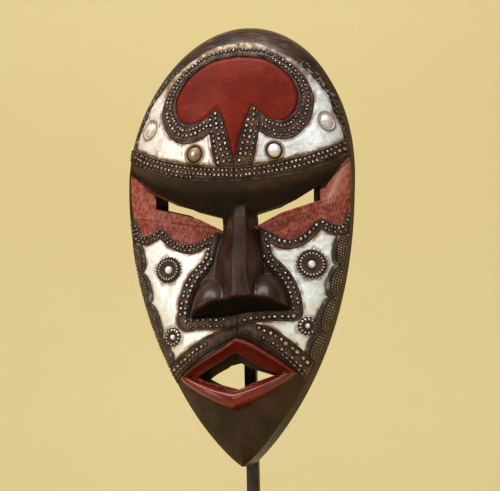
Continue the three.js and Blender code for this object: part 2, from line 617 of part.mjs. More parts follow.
const rodTop = maskMiddle + HOLLOW_MIDDLE + (TOP - HOLLOW_MIDDLE) * HOLLOW_SCALE.high - HOOK_BELOW_ROOF;
const rod = new THREE.Shape();
rod.moveTo(rodFront + ROD_SIDE, FOOT_THICK + GAP);
rod.lineTo(rodFront + ROD_SIDE, rodTop - ROD_SIDE);
rod.absarc(rodFront, rodTop - ROD_SIDE, ROD_SIDE, 0, Math.PI / 2, false);
rod.lineTo(backPlane - HOOK_REACH, rodTop);
rod.lineTo(backPlane - HOOK_REACH, rodTop - ROD_SIDE);
rod.lineTo(rodFront, rodTop - ROD_SIDE);
rod.lineTo(rodFront, FOOT_THICK + GAP);
const rodGeometry = new THREE.ExtrudeGeometry(rod, { depth: ROD_SIDE, bevelEnabled: false, curveSegments: 6 });
rodGeometry.rotateX(Math.PI / 2);
rodGeometry.rotateZ(Math.PI / 2);
rodGeometry.translate(ROD_X - ROD_SIDE / 2, 0, 0);
addSteel('stand_rod', rodGeometry);

const crossbar = new THREE.BoxGeometry(CROSSBAR_LENGTH, CROSSBAR_THICK, CROSSBAR_HEIGHT);
crossbar.translate(0, backPlane + GAP + CROSSBAR_THICK / 2, maskMiddle + CROSSBAR_AT);
addSteel('stand_crossbar', crossbar);

export default object;
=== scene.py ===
import math

import bpy
import numpy as np
from mathutils import Matrix, Vector


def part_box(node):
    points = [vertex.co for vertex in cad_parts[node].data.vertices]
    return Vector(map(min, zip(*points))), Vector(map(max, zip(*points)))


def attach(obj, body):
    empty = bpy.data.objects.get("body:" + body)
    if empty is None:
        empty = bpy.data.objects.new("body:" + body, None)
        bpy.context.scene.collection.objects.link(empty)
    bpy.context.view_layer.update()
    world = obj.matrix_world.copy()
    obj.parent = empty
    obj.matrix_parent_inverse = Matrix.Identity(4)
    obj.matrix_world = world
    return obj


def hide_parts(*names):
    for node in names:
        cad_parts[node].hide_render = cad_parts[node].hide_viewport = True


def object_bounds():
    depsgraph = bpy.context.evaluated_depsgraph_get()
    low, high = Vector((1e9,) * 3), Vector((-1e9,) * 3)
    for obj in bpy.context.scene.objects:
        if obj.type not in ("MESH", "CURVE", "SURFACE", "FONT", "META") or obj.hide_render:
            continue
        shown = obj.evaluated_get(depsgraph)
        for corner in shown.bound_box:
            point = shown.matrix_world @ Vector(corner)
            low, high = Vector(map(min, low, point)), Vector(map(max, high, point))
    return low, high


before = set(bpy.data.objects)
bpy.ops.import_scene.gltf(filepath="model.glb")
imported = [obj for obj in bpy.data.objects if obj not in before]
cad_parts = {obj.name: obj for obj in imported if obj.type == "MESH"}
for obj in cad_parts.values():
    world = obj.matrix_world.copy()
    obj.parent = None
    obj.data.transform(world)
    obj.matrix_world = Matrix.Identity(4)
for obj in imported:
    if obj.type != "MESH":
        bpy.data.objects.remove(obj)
cad_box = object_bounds()

# Driving dimensions of the mask, as in the solids
TOP = 171.0
TIP = -166.0
HALF_WIDTH = 86.0
WIDEST_AT = 52.0
RIM_DEPTH = 33.0
FOREHEAD_DEPTH = 67.0
BROW_EDGE = 43.5
BROW_RISE = 23.3
LID_EDGE = 14.0
HEART_RAISE = 1.6
CHIN_UNEVENNESS = 2.6
EYE_UNEVENNESS = 1.4
GAP = 0.3
CLEARANCE = 0.35
MM = 0.001


def mix(a, b, t):
    return a + (b - a) * t


def ease(t):
    t = np.clip(t, 0, 1)
    return t * t * (3 - 2 * t)


def bell(t):
    return np.exp(-t * t)


def smooth_max(a, b, softness):
    return (a + b + np.sqrt((a - b) ** 2 + softness**2)) / 2


def along(pairs, position):
    """Straight lines through (position, value) pairs."""
    return np.interp(position, [p for p, _ in pairs], [v for _, v in pairs])


def steps(low, high, count):
    return np.linspace(low, high, count + 1)


def lattice(i, j, seed):
    """A repeatable number from 0 to 1 for each corner of a square lattice."""
    value = np.sin(i * 127.1 + j * 311.7 + seed * 74.7) * 43758.5453
    return value - np.floor(value)


def noise(x, y, size, seed=0):
    """Smooth noise from -1 to 1 with lumps of the given size in mm."""
    i, j = np.floor(x / size), np.floor(y / size)
    s, t = ease(x / size - i), ease(y / size - j)
    low = mix(lattice(i, j, seed), lattice(i + 1, j, seed), s)
    high = mix(lattice(i, j + 1, seed), lattice(i + 1, j + 1, seed), s)
    return 2 * mix(low, high, t) - 1


# The carving's main surface


def rise(y):
    return np.clip((y - WIDEST_AT) / (TOP - WIDEST_AT), 0, 1)


def fall(y):
    return np.clip((WIDEST_AT - y) / (WIDEST_AT - TIP), 0, 1)


def half_width(y):
    """The egg-shaped outline, widest above the eyes and pointed at the chin."""
    return HALF_WIDTH * np.sqrt(1 - rise(y) ** 1.95) * (1 - fall(y) ** 2.15) ** 0.85


def lean(y):
    return 6 * ease((y - 30) / 140) - 2.4


def drift(y):
    return 2.5 * ease((y - 30) / 130) - 4.2 * ease((-45 - y) / 80)


def side_taper(y):
    return 1.2 * bell((y + 10) / 75)


def rim_depth(y):
    return RIM_DEPTH - 11 * rise(y) ** 1.5 + 8 * ease((fall(y) - 0.62) / 0.25)


def brow_line(x):
    return BROW_EDGE + BROW_RISE * (np.abs(x) / 84) ** 2.2


def lid_line(x):
    return LID_EDGE + 0.44 * np.abs(x) + 0.52 * np.maximum(0, np.abs(x) - 63)


def forehead(x, y):
    beside = x / np.maximum(half_width(np.minimum(y, WIDEST_AT)), 1e-6)
    away = np.clip(beside**2 + rise(y) ** 1.95, 0, 1)
    crown = FOREHEAD_DEPTH - 5 * (np.maximum(0, 85 - y) / 43) ** 2
    return mix(rim_depth(y), crown, (1 - away) ** 0.55)


MIDLINE = [(TIP, 43), (-150, 51), (-125, 58), (-100, 60), (-75, 60), (-50, 58), (-20, 54), (15, 50), (70, 50)]


def cheeks(x, y):
    across = np.clip(np.abs(x) / np.maximum(half_width(y), 1e-6), 0, 1)
    roundness = mix(2.2, 1.35, ease((-108 - y) / 32))
    shoulder = mix(0.62, 0.85, ease((-105 - y) / 30))
    socket = 4 * bell((y - lid_line(x) + 7) / 12) * (1 - across**4)
    return mix(rim_depth(y), along(MIDLINE, y), (1 - across**roundness) ** shoulder) - socket


def surface(x, y):
    """Front of the wood before nose, lips and heart, with x measured from the middle of the outline."""
    brow, lid = brow_line(x), lid_line(x)
    drop = (brow - y) / (brow - lid)
    under_brow = mix(forehead(x, brow), cheeks(x, lid), ease(drop * 0.5 + 0.25) * 1.45 - 0.226)
    return np.where(y >= brow, forehead(x, y), np.where(y <= lid, cheeks(x, y), under_brow))


def depth_at(x, y):
    return surface(x - lean(y), y)


BLUR = 0.7


def soft_depth(x, y):
    """Depth of the main surface, softened a little where brow and lid break it."""
    return (depth_at(x, y) + depth_at(x, y - BLUR) + depth_at(x, y + BLUR)) / 3


def uneven(x, y):
    """What is on the viewer's right sits a little higher beside the mouth and the eyes."""
    return np.tanh(x / 9) * (CHIN_UNEVENNESS * bell((y + 70) / 26) + EYE_UNEVENNESS * bell((y - 16) / 16))


def on_face(x, y):
    """From the even plan of the carving to its place on the face."""
    return x + drift(y), y + uneven(x, y)


def on_plan(x, y):
    """From a place on the face back to the even plan."""
    px, py = x, y
    for _ in range(4):
        px, py = x - drift(py), y - uneven(px, py)
    return px, py


def facing(x, y):
    """Unit normals of the main surface."""
    reach = 0.6
    slope_x = (depth_at(x + reach, y) - depth_at(x - reach, y)) / (2 * reach)
    slope_y = (depth_at(x, y + reach) - depth_at(x, y - reach)) / (2 * reach)
    normals = np.stack([-slope_x, -slope_y, np.ones_like(slope_x)], -1)
    return normals / np.linalg.norm(normals, axis=-1, keepdims=True)


# Curves drawn on the face, right half, in mm

HEART_LOBE = [(0, 142), (21, 138.5), (38, 126), (46.5, 108), (43, 94), (35, 89.5), (25, 92), (13, 101.5)]
HEART_POINT = [(13, 101.5), (8.4, 91), (4.8, 79.3), (1.8, 67.9), (0, 61)]
HEART_BAND = [
    (0.4, 145.8), (21.7, 142.2), (32, 136.2), (41, 129), (48.5, 118.5), (51.9, 107.8), (51, 96.8), (48, 90.2),
    (42.3, 84), (36, 82.2), (28, 84), (18.5, 89.5),
]
SPIKE_BAND = [(14.6, 103.5), (14, 91), (11.6, 79.3), (9.1, 67.9), (6.9, 56)]
BROW_BAND = [(0.6, 50.2), (25, 52.2), (50, 57), (70, 64.5), (82, 72)]
EYE_BAND = [
    (14, 8.5), (19, 5), (25, 1.7), (33, -1.8), (40, -2.5), (50, 1.5), (56, 7), (61, 11.6), (66, 9), (73, 7),
    (79.5, 10.5), (83.5, 22),
]
NOSE_BAND = [
    (17, 6), (19.9, -2.4), (21.7, -11), (26.5, -17.8), (31.4, -23.2), (35.4, -28.8), (38.5, -35), (40.6, -42),
    (41.8, -49.5), (42, -57.2), (30, -57.6), (15, -58.2), (0.4, -58.6),
]
LIP_BAND = [(0.4, -66.2), (9, -67.4), (18, -71), (30, -77.7), (40, -85.2), (47, -91.5), (53, -99)]
FOREHEAD_FIELD = [
    (0.3, 154.4), (11, 153.4), (21, 150.2), (30, 145.8), (38, 141), (47.5, 133), (54.8, 125.5), (61.2, 117.8),
    (67.6, 108.5), (71, 98.7), (74.6, 91), (77.6, 83.4), (78.6, 76), (60, 61), (0.3, 51),
]
# The cheek's sheet is drawn out to the middles of the bands round it, and make_cheek_sheet cuts it back
CHEEK_FIELD = [
    *EYE_BAND[1:10], (83, 7), (75, -50), (62, -84), (55, -97), *LIP_BAND[5:1:-1], (12, -65), (16, -58),
    *NOSE_BAND[9:0:-1],
]
# Width of each band at shares of its length
WIDTHS = {
    "heart": [(0, 6.4), (0.37, 7.4), (0.57, 10.4), (0.66, 12.4), (0.8, 14.4), (0.86, 14.2), (1, 13)],
    "spike": [(0, 2.5), (0.25, 10.6), (0.5, 13.2), (0.75, 14), (1, 13.2)],
    "brow": [(0, 10.5), (0.5, 12.5), (1, 10)],
    "eye": [(0, 5.5), (0.15, 7.6), (0.5, 6.8), (0.75, 7.4), (1, 6)],
    "nose": [(0, 4.5), (0.08, 7), (0.16, 7.6), (0.24, 9.8), (0.5, 10.2), (0.62, 9.2), (0.7, 8.6), (1, 9)],
    "lip": [(0, 5.4), (0.15, 9), (0.35, 12), (1, 12)],
}

# Lobed strip along each side edge: heights of its cusps, how far in they sit, and how far the lobes bulge
CUSP_HEIGHTS = [5, -18, -42, -68, -89]
CUSP_INSET = 5.6
LOBE_BULGE = 4.8
STRIP_INSET = 0.8
STRIP_TOP = 5
STRIP_FOOT = -91

# Rosettes on the cheeks, of which the upper right one is wider, their studs and the holes round them
ROSETTE_AT = (54, -18)
ROSETTE = {
    -1: {"at": ROSETTE_AT, "radius": 10.4, "pearls": 22, "centre": 3.6, "rope_width": 0.05},
    1: {"at": ROSETTE_AT, "radius": 11.7, "pearls": 22, "centre": 3.6, "rope_width": 0.1},
}
STUD = {"at": ROSETTE_AT, "radius": 3.0, "height": 3.6}
STUD_HOLE = 3.4
LOW_ROSETTE_AT = (50.4, -66.1)
LOW_ROSETTE = {"at": LOW_ROSETTE_AT, "radius": 7.4, "pearls": 13, "centre": 2.6, "rope_width": 0.05}
LOW_STUD = {"at": LOW_ROSETTE_AT, "radius": 2.0, "height": 2.8}
LOW_STUD_HOLE = 2.4

# Bosses on the forehead, ovals that are narrower than they are high
BOSS = {"at": (30, 66.6), "radius": 8.4, "height": 3.6, "narrow": 1.06}
SMALL_BOSS = {"at": (67, 89), "radius": 7.6, "height": 2.0, "narrow": 1.32}
BOSS_LEAN = (0.91, 0.41)


def curve(points, count):
    """Smooth curve through given corners (centripetal Catmull-Rom), evenly spaced along its length."""
    p = np.array(points, float)
    p = np.vstack([2 * p[0] - p[1], p, 2 * p[-1] - p[-2]])
    knots = np.concatenate([[0], np.cumsum(np.sqrt(np.linalg.norm(np.diff(p, axis=0), axis=1)))])
    out = []
    for k in range(1, len(p) - 2):
        t0, t1, t2, t3 = knots[k - 1 : k + 3]
        t = np.linspace(t1, t2, 24, endpoint=k == len(p) - 3)[:, None]
        a1 = (t1 - t) / (t1 - t0) * p[k - 1] + (t - t0) / (t1 - t0) * p[k]
        a2 = (t2 - t) / (t2 - t1) * p[k] + (t - t1) / (t2 - t1) * p[k + 1]
        a3 = (t3 - t) / (t3 - t2) * p[k + 1] + (t - t2) / (t3 - t2) * p[k + 2]
        b1 = (t2 - t) / (t2 - t0) * a1 + (t - t0) / (t2 - t0) * a2
        b2 = (t3 - t) / (t3 - t1) * a2 + (t - t1) / (t3 - t1) * a3
        out.append((t2 - t) / (t2 - t1) * b1 + (t - t1) / (t2 - t1) * b2)
    fine = np.vstack(out)
    length = np.concatenate([[0], np.cumsum(np.linalg.norm(np.diff(fine, axis=0), axis=1))])
    even = np.linspace(0, length[-1], count + 1)
    return np.stack([np.interp(even, length, fine[:, k]) for k in (0, 1)], -1)


class Path:
    """A centreline with its length, and where a point lies along and beside it."""

    def __init__(self, points, count=90):
        self.points = curve(points, count)
        self.ends = np.concatenate([[0], np.cumsum(np.linalg.norm(np.diff(self.points, axis=0), axis=1))])
        self.length = self.ends[-1]

    def locate(self, x, y):
        """Distance along, and signed distance beside (positive to the left), of the nearest point."""
        shape = x.shape
        q = np.stack([x.ravel(), y.ravel()], -1)
        best = np.full(len(q), 1e9)
        where = np.zeros(len(q))
        beside = np.zeros(len(q))
        for k in range(len(self.points) - 1):
            a, b = self.points[k], self.points[k + 1]
            step = b - a
            size = np.linalg.norm(step)
            t = np.clip((q - a) @ step / size**2, 0, 1)
            offset = q - a - t[:, None] * step
            distance = np.linalg.norm(offset, axis=1)
            side = np.sign(step[0] * offset[:, 1] - step[1] * offset[:, 0])
            closer = distance < best
            best = np.where(closer, distance, best)
            where = np.where(closer, self.ends[k] + t * size, where)
            beside = np.where(closer, distance * np.where(side == 0, 1, side), beside)
        return where.reshape(shape), beside.reshape(shape)

    def at(self, s):
        return np.stack([np.interp(s, self.ends, self.points[:, k]) for k in (0, 1)], -1)

    def normal(self, s):
        step = self.at(np.minimum(s + 0.5, self.length)) - self.at(np.maximum(s - 0.5, 0))
        step /= np.linalg.norm(step, axis=-1, keepdims=True)
        return np.stack([-step[..., 1], step[..., 0]], -1)


def outside(polygon, x, y):
    """Signed distance to a closed outline, negative inside."""
    distance = np.full(x.shape, 1e9)
    inside = np.zeros(x.shape, bool)
    for (ax, ay), (bx, by) in zip(polygon, np.roll(polygon, -1, axis=0)):
        dx, dy = bx - ax, by - ay
        t = np.clip(((x - ax) * dx + (y - ay) * dy) / max(dx * dx + dy * dy, 1e-9), 0, 1)
        distance = np.minimum(distance, np.hypot(x - ax - t * dx, y - ay - t * dy))
        if ay != by:
            crosses = ((ay > y) != (by > y)) & (x < (bx - ax) * (y - ay) / (by - ay) + ax)
            inside ^= crosses
    return np.where(inside, -distance, distance)


HEART = np.vstack([curve(HEART_LOBE, 60), curve(HEART_POINT, 20)[1:]])
HEART = np.vstack([HEART, HEART[1:-1][::-1] * [-1, 1]])


def outside_heart(x, y):
    return outside(HEART, x, y)


# Nose, lips and heart stand up from the main surface

# Lines down the nose, from its lower edge to its top: the flat front's height, its two edges with a faint
# ridge between them, and where both flanks run out on the face. It leans to the viewer's right.
BRIDGE = [(-60, 80), (-40, 80), (-20, 76.5), (0, 69), (18, 61.5), (27, 57), (34, 52)]
LEFT_FOOT = [(-44, -17.6), (-20, -17.4), (-8, -16), (4, -13.2), (18, -10.6), (32, -7.5)]
LEFT_EDGE = [(-44, -3.4), (-38, -1.4), (-20, -1.8), (4, -1.6), (26, -1.7), (32, -1.9)]
NOSE_RIDGE = [(-44, 6.4), (-30, 6.2), (-8, 5.5), (16, 4.2), (32, 3.2)]
RIGHT_EDGE = [(-44, 13.6), (-38, 12), (-23, 9.8), (0, 8.8), (12, 8.2), (24, 6.8), (32, 6)]
RIGHT_FOOT = [(-44, 21), (-20, 19.4), (-6, 17.2), (10, 14.4), (21, 13.2), (32, 13)]
NOSE_TOP = 33.0
NOSE_EDGE = -41.9
NOSE_EDGE_DROP = 8.5
NOSE_FOOT = -53.5
NOSE_MIDDLE = 1
NOSE_REACH = 38

# Wings of the nose: how their lower edge flares, how square they are, how fast they fall away past their rim,
# and their middles and half sizes. Then how soft the bridge's edges are and how high its faint ridge stands.
WING_FLARE = 0.3
WING_SQUARENESS = 1.3
WING_SKIRT = 14
WINGS = {
    -1: {"x": -19.0, "y": -52.0, "z": 50.0, "wide": 17.0, "high": 27.0, "deep": 26.0},
    1: {"x": 20.5, "y": -52.0, "z": 50.0, "wide": 17.0, "high": 29.0, "deep": 26.0},
}
BRIDGE_SOFTNESS = 0.004
BRIDGE_ROOF = 0.35


def wing_front(wing, x, y):
    """Rounded front of one wing of the nose, which drops steeply past its rim."""
    reach = ((x - wing["x"]) / wing["wide"]) ** 2 + ((y - wing["y"]) / wing["high"]) ** 2
    flare = WING_FLARE * (NOSE_EDGE - y)
    dome = wing["deep"] * np.sqrt(np.clip(1 - reach**WING_SQUARENESS, 0, 1))
    return wing["z"] + flare + dome - WING_SKIRT * np.clip(reach - 1, 0, 2)


def nose_front(x, y):
    """A bridge with a nearly flat front and sloping flanks, smoothed into both wings."""
    left, right, ridge = along(LEFT_EDGE, y), along(RIGHT_EDGE, y), along(NOSE_RIDGE, y)
    out_left = (left - x) / (left - along(LEFT_FOOT, y))
    out_right = (x - right) / (along(RIGHT_FOOT, y) - right)
    out = np.maximum(out_left, out_right)
    drop = (out + np.sqrt(out**2 + BRIDGE_SOFTNESS)) / 2
    foot = depth_at(x, y)
    share = np.where(x < ridge, (x - left) / (ridge - left), (right - x) / (right - ridge))
    roof = BRIDGE_ROOF * np.clip(share, 0, 1)
    bridge = mix(along(BRIDGE, y), foot, np.minimum(drop, 1)) + roof - 6 * np.clip(drop - 1, 0, 1)
    front = smooth_max(bridge, wing_front(WINGS[-1], x, y), 0.8 + 3.2 * ease((-32 - y) / 12)) - 0.2
    front = smooth_max(front, wing_front(WINGS[1], x, y), 0.6 + 1.2 * ease((-36 - y) / 8)) - 0.15
    return np.where(y > NOSE_TOP, 0, front)


def nose_edge(x):
    """Lower edge of the nose, an arc from one wing's corner over the tip to the other."""
    return NOSE_EDGE - NOSE_EDGE_DROP * np.clip(np.abs(x - 2.5) / 35, 0, 1.1) ** 2.4


def nose_height(x, y, base):
    """Front of the nose, and below its edge the hollowed underside that runs back to the face."""
    edge = nose_edge(x)
    down = np.clip((edge - y) / np.maximum(edge - NOSE_FOOT, 0.4), 0, 1)
    at_edge = nose_front(x, edge)
    under = mix(at_edge, np.minimum(base, at_edge), down**0.82)
    front = np.where(y >= edge, nose_front(x, y), np.where(down < 1, under, 0))
    return np.where(np.abs(x - NOSE_MIDDLE) < NOSE_REACH, front, 0)


LIP_OUTER = {"wide": 44.6, "high": -70.9, "low": -125.2, "corner": -98.6}
LIP_INNER = {"wide": 35.0, "high": -80.3, "low": -110.0, "corner": -98.0}
UPPER_ROUNDNESS = 1.08
LOWER_ROUNDNESS = 1.2
LIP_PROFILE_UPPER = [(0, -1.5), (0.05, 4), (0.17, 8.6), (0.24, 9.2), (0.32, 8.6), (1, 2.6)]
LIP_PROFILE_LOWER = [
    (0, -1.5), (0.05, 4.4), (0.1, 7), (0.16, 8.7), (0.24, 9.5), (0.35, 9.7), (0.5, 9.1), (0.65, 7.8),
    (0.75, 6.5), (0.85, 4.7), (0.92, 2.9), (1, 0.2),
]


def diamond(edge, x, y):
    """1 on the edge of the diamond, less inside."""
    up = y - edge["corner"]
    reach = np.where(up > 0, edge["high"] - edge["corner"], edge["corner"] - edge["low"])
    power = np.where(up > 0, UPPER_ROUNDNESS, LOWER_ROUNDNESS)
    return ((np.abs(x) / edge["wide"]) ** power + (np.abs(up) / reach) ** power) ** (1 / power)


def lip_share(x, y):
    """0 at the outer edge of the lips and 1 at the mouth, below 0 outside."""
    outer = 1 - diamond(LIP_OUTER, x, y)
    inner = np.maximum(diamond(LIP_INNER, x, y) - 1, 0)
    return np.where(outer < 0, outer * 6, outer / np.maximum(outer + inner * 0.72, 1e-6))


def lips_height(x, y, base):
    share = lip_share(x, y)
    upper = along(LIP_PROFILE_UPPER, share)
    lower = along(LIP_PROFILE_LOWER, share)
    middle = ease((y - LIP_OUTER["corner"] + 1.2) / 2.4)
    corner = 1 - 0.5 * (np.clip(np.abs(x) / LIP_OUTER["wide"], 0, 1)) ** 3
    return np.where(share > 0, base + mix(lower, upper, middle) * corner, 0)


# Foot of a faint ridge beside the outer end of the right slit, and how far it slants for each mm up
EYE_RIDGE_FOOT = (68.0, 32)
EYE_RIDGE_SLANT = 0.42
EYE_RIDGE_RAISE = 1.6


def eye_ridge(x, y, width):
    """1 along the crest of the ridge, less beside it."""
    foot_x, foot_y = EYE_RIDGE_FOOT
    near = (x > 50) & (y > 22) & (y < brow_line(x))
    away = np.abs(x - foot_x - (y - foot_y) * EYE_RIDGE_SLANT)
    return near * np.exp(-away / width) * ease((y - 24) / 8) * ease((66 - y) / 8)


# The stretches of the face in which nose, lips and heart are looked for
CARVED_REACH = 60
NOSE_BELOW = 40
NOSE_ABOVE = -64
LIPS_BELOW = -68
LIPS_ABOVE = -130
HEART_ABOVE = 58


def front_depth(x, y):
    """Front of the whole carving at a place on the face."""
    base = soft_depth(x, y)
    px, py = on_plan(x, y)
    near = (np.abs(px) < CARVED_REACH) & (py < NOSE_BELOW) & (py > LIPS_ABOVE)
    with_nose = smooth_max(base, nose_height(px, py, base), 0.6)
    with_lips = np.maximum(base, lips_height(px, py, base))
    depth = np.where(near & (py > NOSE_ABOVE), with_nose, base)
    depth = np.where(near & (py < LIPS_BELOW), with_lips, depth)
    heart = ease(-outside_heart(px, y) / 1.2) * HEART_RAISE
    return depth + np.where(y > HEART_ABOVE, heart, 0) + EYE_RIDGE_RAISE * eye_ridge(px, py, 5)


# Meshes

row = steps(TIP, TOP, 900)
outline_left = (lean(row) - half_width(row)).min()
outline_right = (lean(row) + half_width(row)).max()
body_low, body_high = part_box("mask_body")
MIDDLE_X = (outline_left + outline_right) / 2 - (body_low.x + body_high.x) / 2 / MM
BACK_Y = body_high.y / MM
MIDDLE_Z = body_high.z / MM - TOP


def to_world(points):
    """From the mask's own millimetres to the frame's metres."""
    points = np.asarray(points, float)
    world = [points[..., 0] - MIDDLE_X, BACK_Y - points[..., 2], points[..., 1] + MIDDLE_Z]
    return np.stack(world, -1) * MM


def to_mask(world):
    world = np.asarray(world, float) / MM
    return np.stack([world[..., 0] + MIDDLE_X, world[..., 2] - MIDDLE_Z, BACK_Y - world[..., 1]], -1)


def smooth(mesh, angle):
    """Smooth shading, with creases sharper than the angle in degrees left sharp."""
    mesh.shade_smooth()
    mesh.set_sharp_from_angle(angle=math.radians(angle))


def new_object(name, points, faces, smooth_angle=40):
    mesh = bpy.data.meshes.new(name)
    mesh.from_pydata(points.tolist(), [], faces)
    mesh.validate()
    smooth(mesh, smooth_angle)
    obj = bpy.data.objects.new(name, mesh)
    bpy.context.scene.collection.objects.link(obj)
    return obj


def set_attribute(mesh, name, values, domain="POINT"):
    attribute = mesh.attributes.new(name, "FLOAT", domain)
    attribute.data.foreach_set("value", np.asarray(values, np.float32).ravel())


def read(items, key, width=3, kind=float):
    """A row of numbers for each vertex, edge or face."""
    numbers = np.zeros(len(items) * width, kind)
    items.foreach_get(key, numbers)
    return numbers.reshape(-1, width)


def vertices(mesh):
    return read(mesh.vertices, "co")


def only(obj):
    """Selects one object alone and makes it the active one."""
    bpy.ops.object.select_all(action="DESELECT")
    obj.select_set(True)
    bpy.context.view_layer.objects.active = obj


def finish_piece(obj, node, material):
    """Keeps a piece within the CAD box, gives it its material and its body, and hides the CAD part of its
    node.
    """
    inside = np.clip(vertices(obj.data), cad_box[0], cad_box[1])
    obj.data.vertices.foreach_set("co", inside.ravel())
    obj.data.update()
    obj.data.materials.clear()
    obj.data.materials.append(material)
    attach(obj, "root")
    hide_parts(node)


def grid_cells():
    """Marching squares: for each pattern of corners that are inside, its polygon and its cut edges."""
    patterns = {}
    for code in range(1, 16):
        bits = [bool(code >> k & 1) for k in range(4)]
        loop, cuts = [], []
        for k in range(4):
            if bits[k]:
                loop.append(k)
            if bits[k] != bits[(k + 1) % 4]:
                loop.append(4 + k)
        for k, label in enumerate(loop):
            after = loop[(k + 1) % len(loop)]
            if label >= 4 and after >= 4 and bits[label - 4]:
                cuts.append((label, after))
        patterns[code] = (loop, cuts)
    return patterns


PATTERNS = grid_cells()


def cut_out(box, pitch, keep_out):
    """Points, polygons and outline edges of the part of a grid where keep_out is negative."""
    (x0, y0), (x1, y1) = box
    xs = np.arange(x0, x1 + pitch, pitch)
    ys = np.arange(y0, y1 + pitch, pitch)
    gx, gy = np.meshgrid(xs, ys)
    value = keep_out(gx, gy)
    value = np.where(np.abs(value) < 1e-4, -1e-4, value)
    inside = value < 0
    rows, columns = inside.shape
    count = rows * columns
    number = np.arange(count).reshape(rows, columns)
    corners = [number[:-1, :-1], number[:-1, 1:], number[1:, 1:], number[1:, :-1]]
    code = sum(inside.ravel()[c].astype(int) << k for k, c in enumerate(corners))
    flat = np.stack([gx.ravel(), gy.ravel()], -1)
    level = value.ravel()
    # Points where the outline crosses the grid's lines: those along x first, then those along y
    cross_x = np.full((rows, columns), -1)
    cross_y = np.full((rows, columns), -1)
    points = [flat]
    total = count
    for table, a, b in (
        (cross_x, number[:, :-1], number[:, 1:]),
        (cross_y, number[:-1, :], number[1:, :]),
    ):
        hit = inside.ravel()[a] != inside.ravel()[b]
        fa, fb = level[a[hit]], level[b[hit]]
        share = np.clip(fa / (fa - fb), 0.02, 0.98)[:, None]
        points.append(mix(flat[a[hit]], flat[b[hit]], share))
        table[: a.shape[0], : a.shape[1]][hit] = np.arange(total, total + hit.sum())
        total += int(hit.sum())
    edges = [cross_x[:-1, :-1], cross_y[:-1, 1:], cross_x[1:, :-1], cross_y[:-1, :-1]]
    labels = corners + edges
    polygons, cuts = [], []
    for number_of, (loop, cut) in PATTERNS.items():
        cells = code == number_of
        if cells.any():
            polygons.append(np.stack([labels[k][cells] for k in loop], -1))
            cuts += [np.stack([labels[a][cells], labels[b][cells]], -1) for a, b in cut]
    plan = np.vstack(points)
    used = np.unique(np.concatenate([p.ravel() for p in polygons]))
    renumber = np.full(total, -1)
    renumber[used] = np.arange(len(used))
    return plan[used], [renumber[polygon] for polygon in polygons], [renumber[cut] for cut in cuts]


def plate(name, box, pitch, keep_out, place, relief, flip):
    """A thin closed solid laid on the face, there where keep_out is negative, with relief on its front."""
    plan, polygons, cuts = cut_out(box, pitch, keep_out)
    x, y = place(plan[:, 0], plan[:, 1])
    normal = facing(x, y)
    edge = np.maximum(-keep_out(plan[:, 0], plan[:, 1]), 0)
    height, marks = relief(plan[:, 0], plan[:, 1], edge)
    ground = np.stack([x, y, soft_depth(x, y)], -1)
    front = ground + normal * (GAP + height)[:, None]
    back = ground + normal * GAP
    size = len(plan)
    faces = []
    for top in polygons:
        faces += (top[:, ::-1] if flip else top).tolist()
        faces += (top + size if flip else top[:, ::-1] + size).tolist()
    for cut_edges in cuts:
        a, b = cut_edges.T
        wall = np.stack([b, a, a + size, b + size], -1)
        faces += (wall[:, ::-1] if flip else wall).tolist()
    obj = new_object(name, to_world(np.vstack([front, back])), faces, 50)
    set_attribute(obj.data, "edge", np.tile(edge, 2))
    for mark, values in marks.items():
        set_attribute(obj.data, mark, np.concatenate([values, values * 0]))
    return obj


def beads_on(path, rows_of_beads, seed):
    """Places and sizes of beads punched in rows along a path."""
    beads = []
    for beside, spacing, radius, first, last in rows_of_beads:
        count = int((last - first) * path.length / spacing)
        s = first * path.length + (np.arange(count) + 0.5) * spacing
        s = s + (lattice(np.arange(count), beside, seed) - 0.5) * spacing * 0.3
        offset = beside + (lattice(np.arange(count), beside, seed + 5) - 0.5) * radius * 0.5
        size = radius * (0.9 + 0.4 * lattice(np.arange(count), beside, seed + 9))
        where = path.at(s) + path.normal(s) * offset[:, None]
        beads += list(zip(where[:, 0], where[:, 1], size))
    return np.array(beads)


def bead_relief(x, y, beads, height):
    """Uneven domes at the beads: how far up, how near the top from 0 to 1, and the sunk ring round each."""
    nearest = np.zeros(x.shape)
    ring = np.zeros(x.shape)
    turns = lattice(np.arange(len(beads)), 7, 1) * math.pi
    for (bx, by, radius), turn in zip(beads, turns):
        close = (np.abs(x - bx) < radius * 2) & (np.abs(y - by) < radius * 2)
        if close.any():
            dx, dy = x[close] - bx, y[close] - by
            long = dx * math.cos(turn) + dy * math.sin(turn)
            short = dy * math.cos(turn) - dx * math.sin(turn)
            reach = (long**2 / 1.1**2 + short**2 * 1.1**2) / radius**2
            nearest[close] = np.maximum(nearest[close], np.sqrt(np.clip(1 - reach, 0, 1)))
            ring[close] = np.maximum(ring[close], bell((np.sqrt(reach) - 1.2) / 0.24))
    return nearest * height, nearest, ring * (1 - nearest)


PATHS = {
    "heart": Path(HEART_BAND),
    "spike": Path(SPIKE_BAND, 40),
    "brow": Path(BROW_BAND, 60),
    "eye": Path(EYE_BAND, 110),
    "nose": Path(NOSE_BAND, 100),
    "lip": Path(LIP_BAND, 50),
}


def outside_band(name, x, y):
    path = PATHS[name]
    s, beside = path.locate(x, y)
    return np.abs(beside) - along(WIDTHS[name], s / path.length) / 2


def outside_nose(x, y):
    """Rough distance outside the nose's footprint on the wider side, negative under it."""
    upper = along([(-22, 20.5), (-8, 17.5), (4, 15.2), (20, 13.4), (34, 13)], y)
    lower = along([(-60, 38), (-49, 37), (-42, 34.5), (-36, 32), (-29, 27.5), (-24, 22), (-22, 20.5)], y)
    half = np.where(y > -22, upper, lower)
    return np.maximum(np.maximum(x - half, NOSE_FOOT - y - 0.3), y - NOSE_TOP - 1)


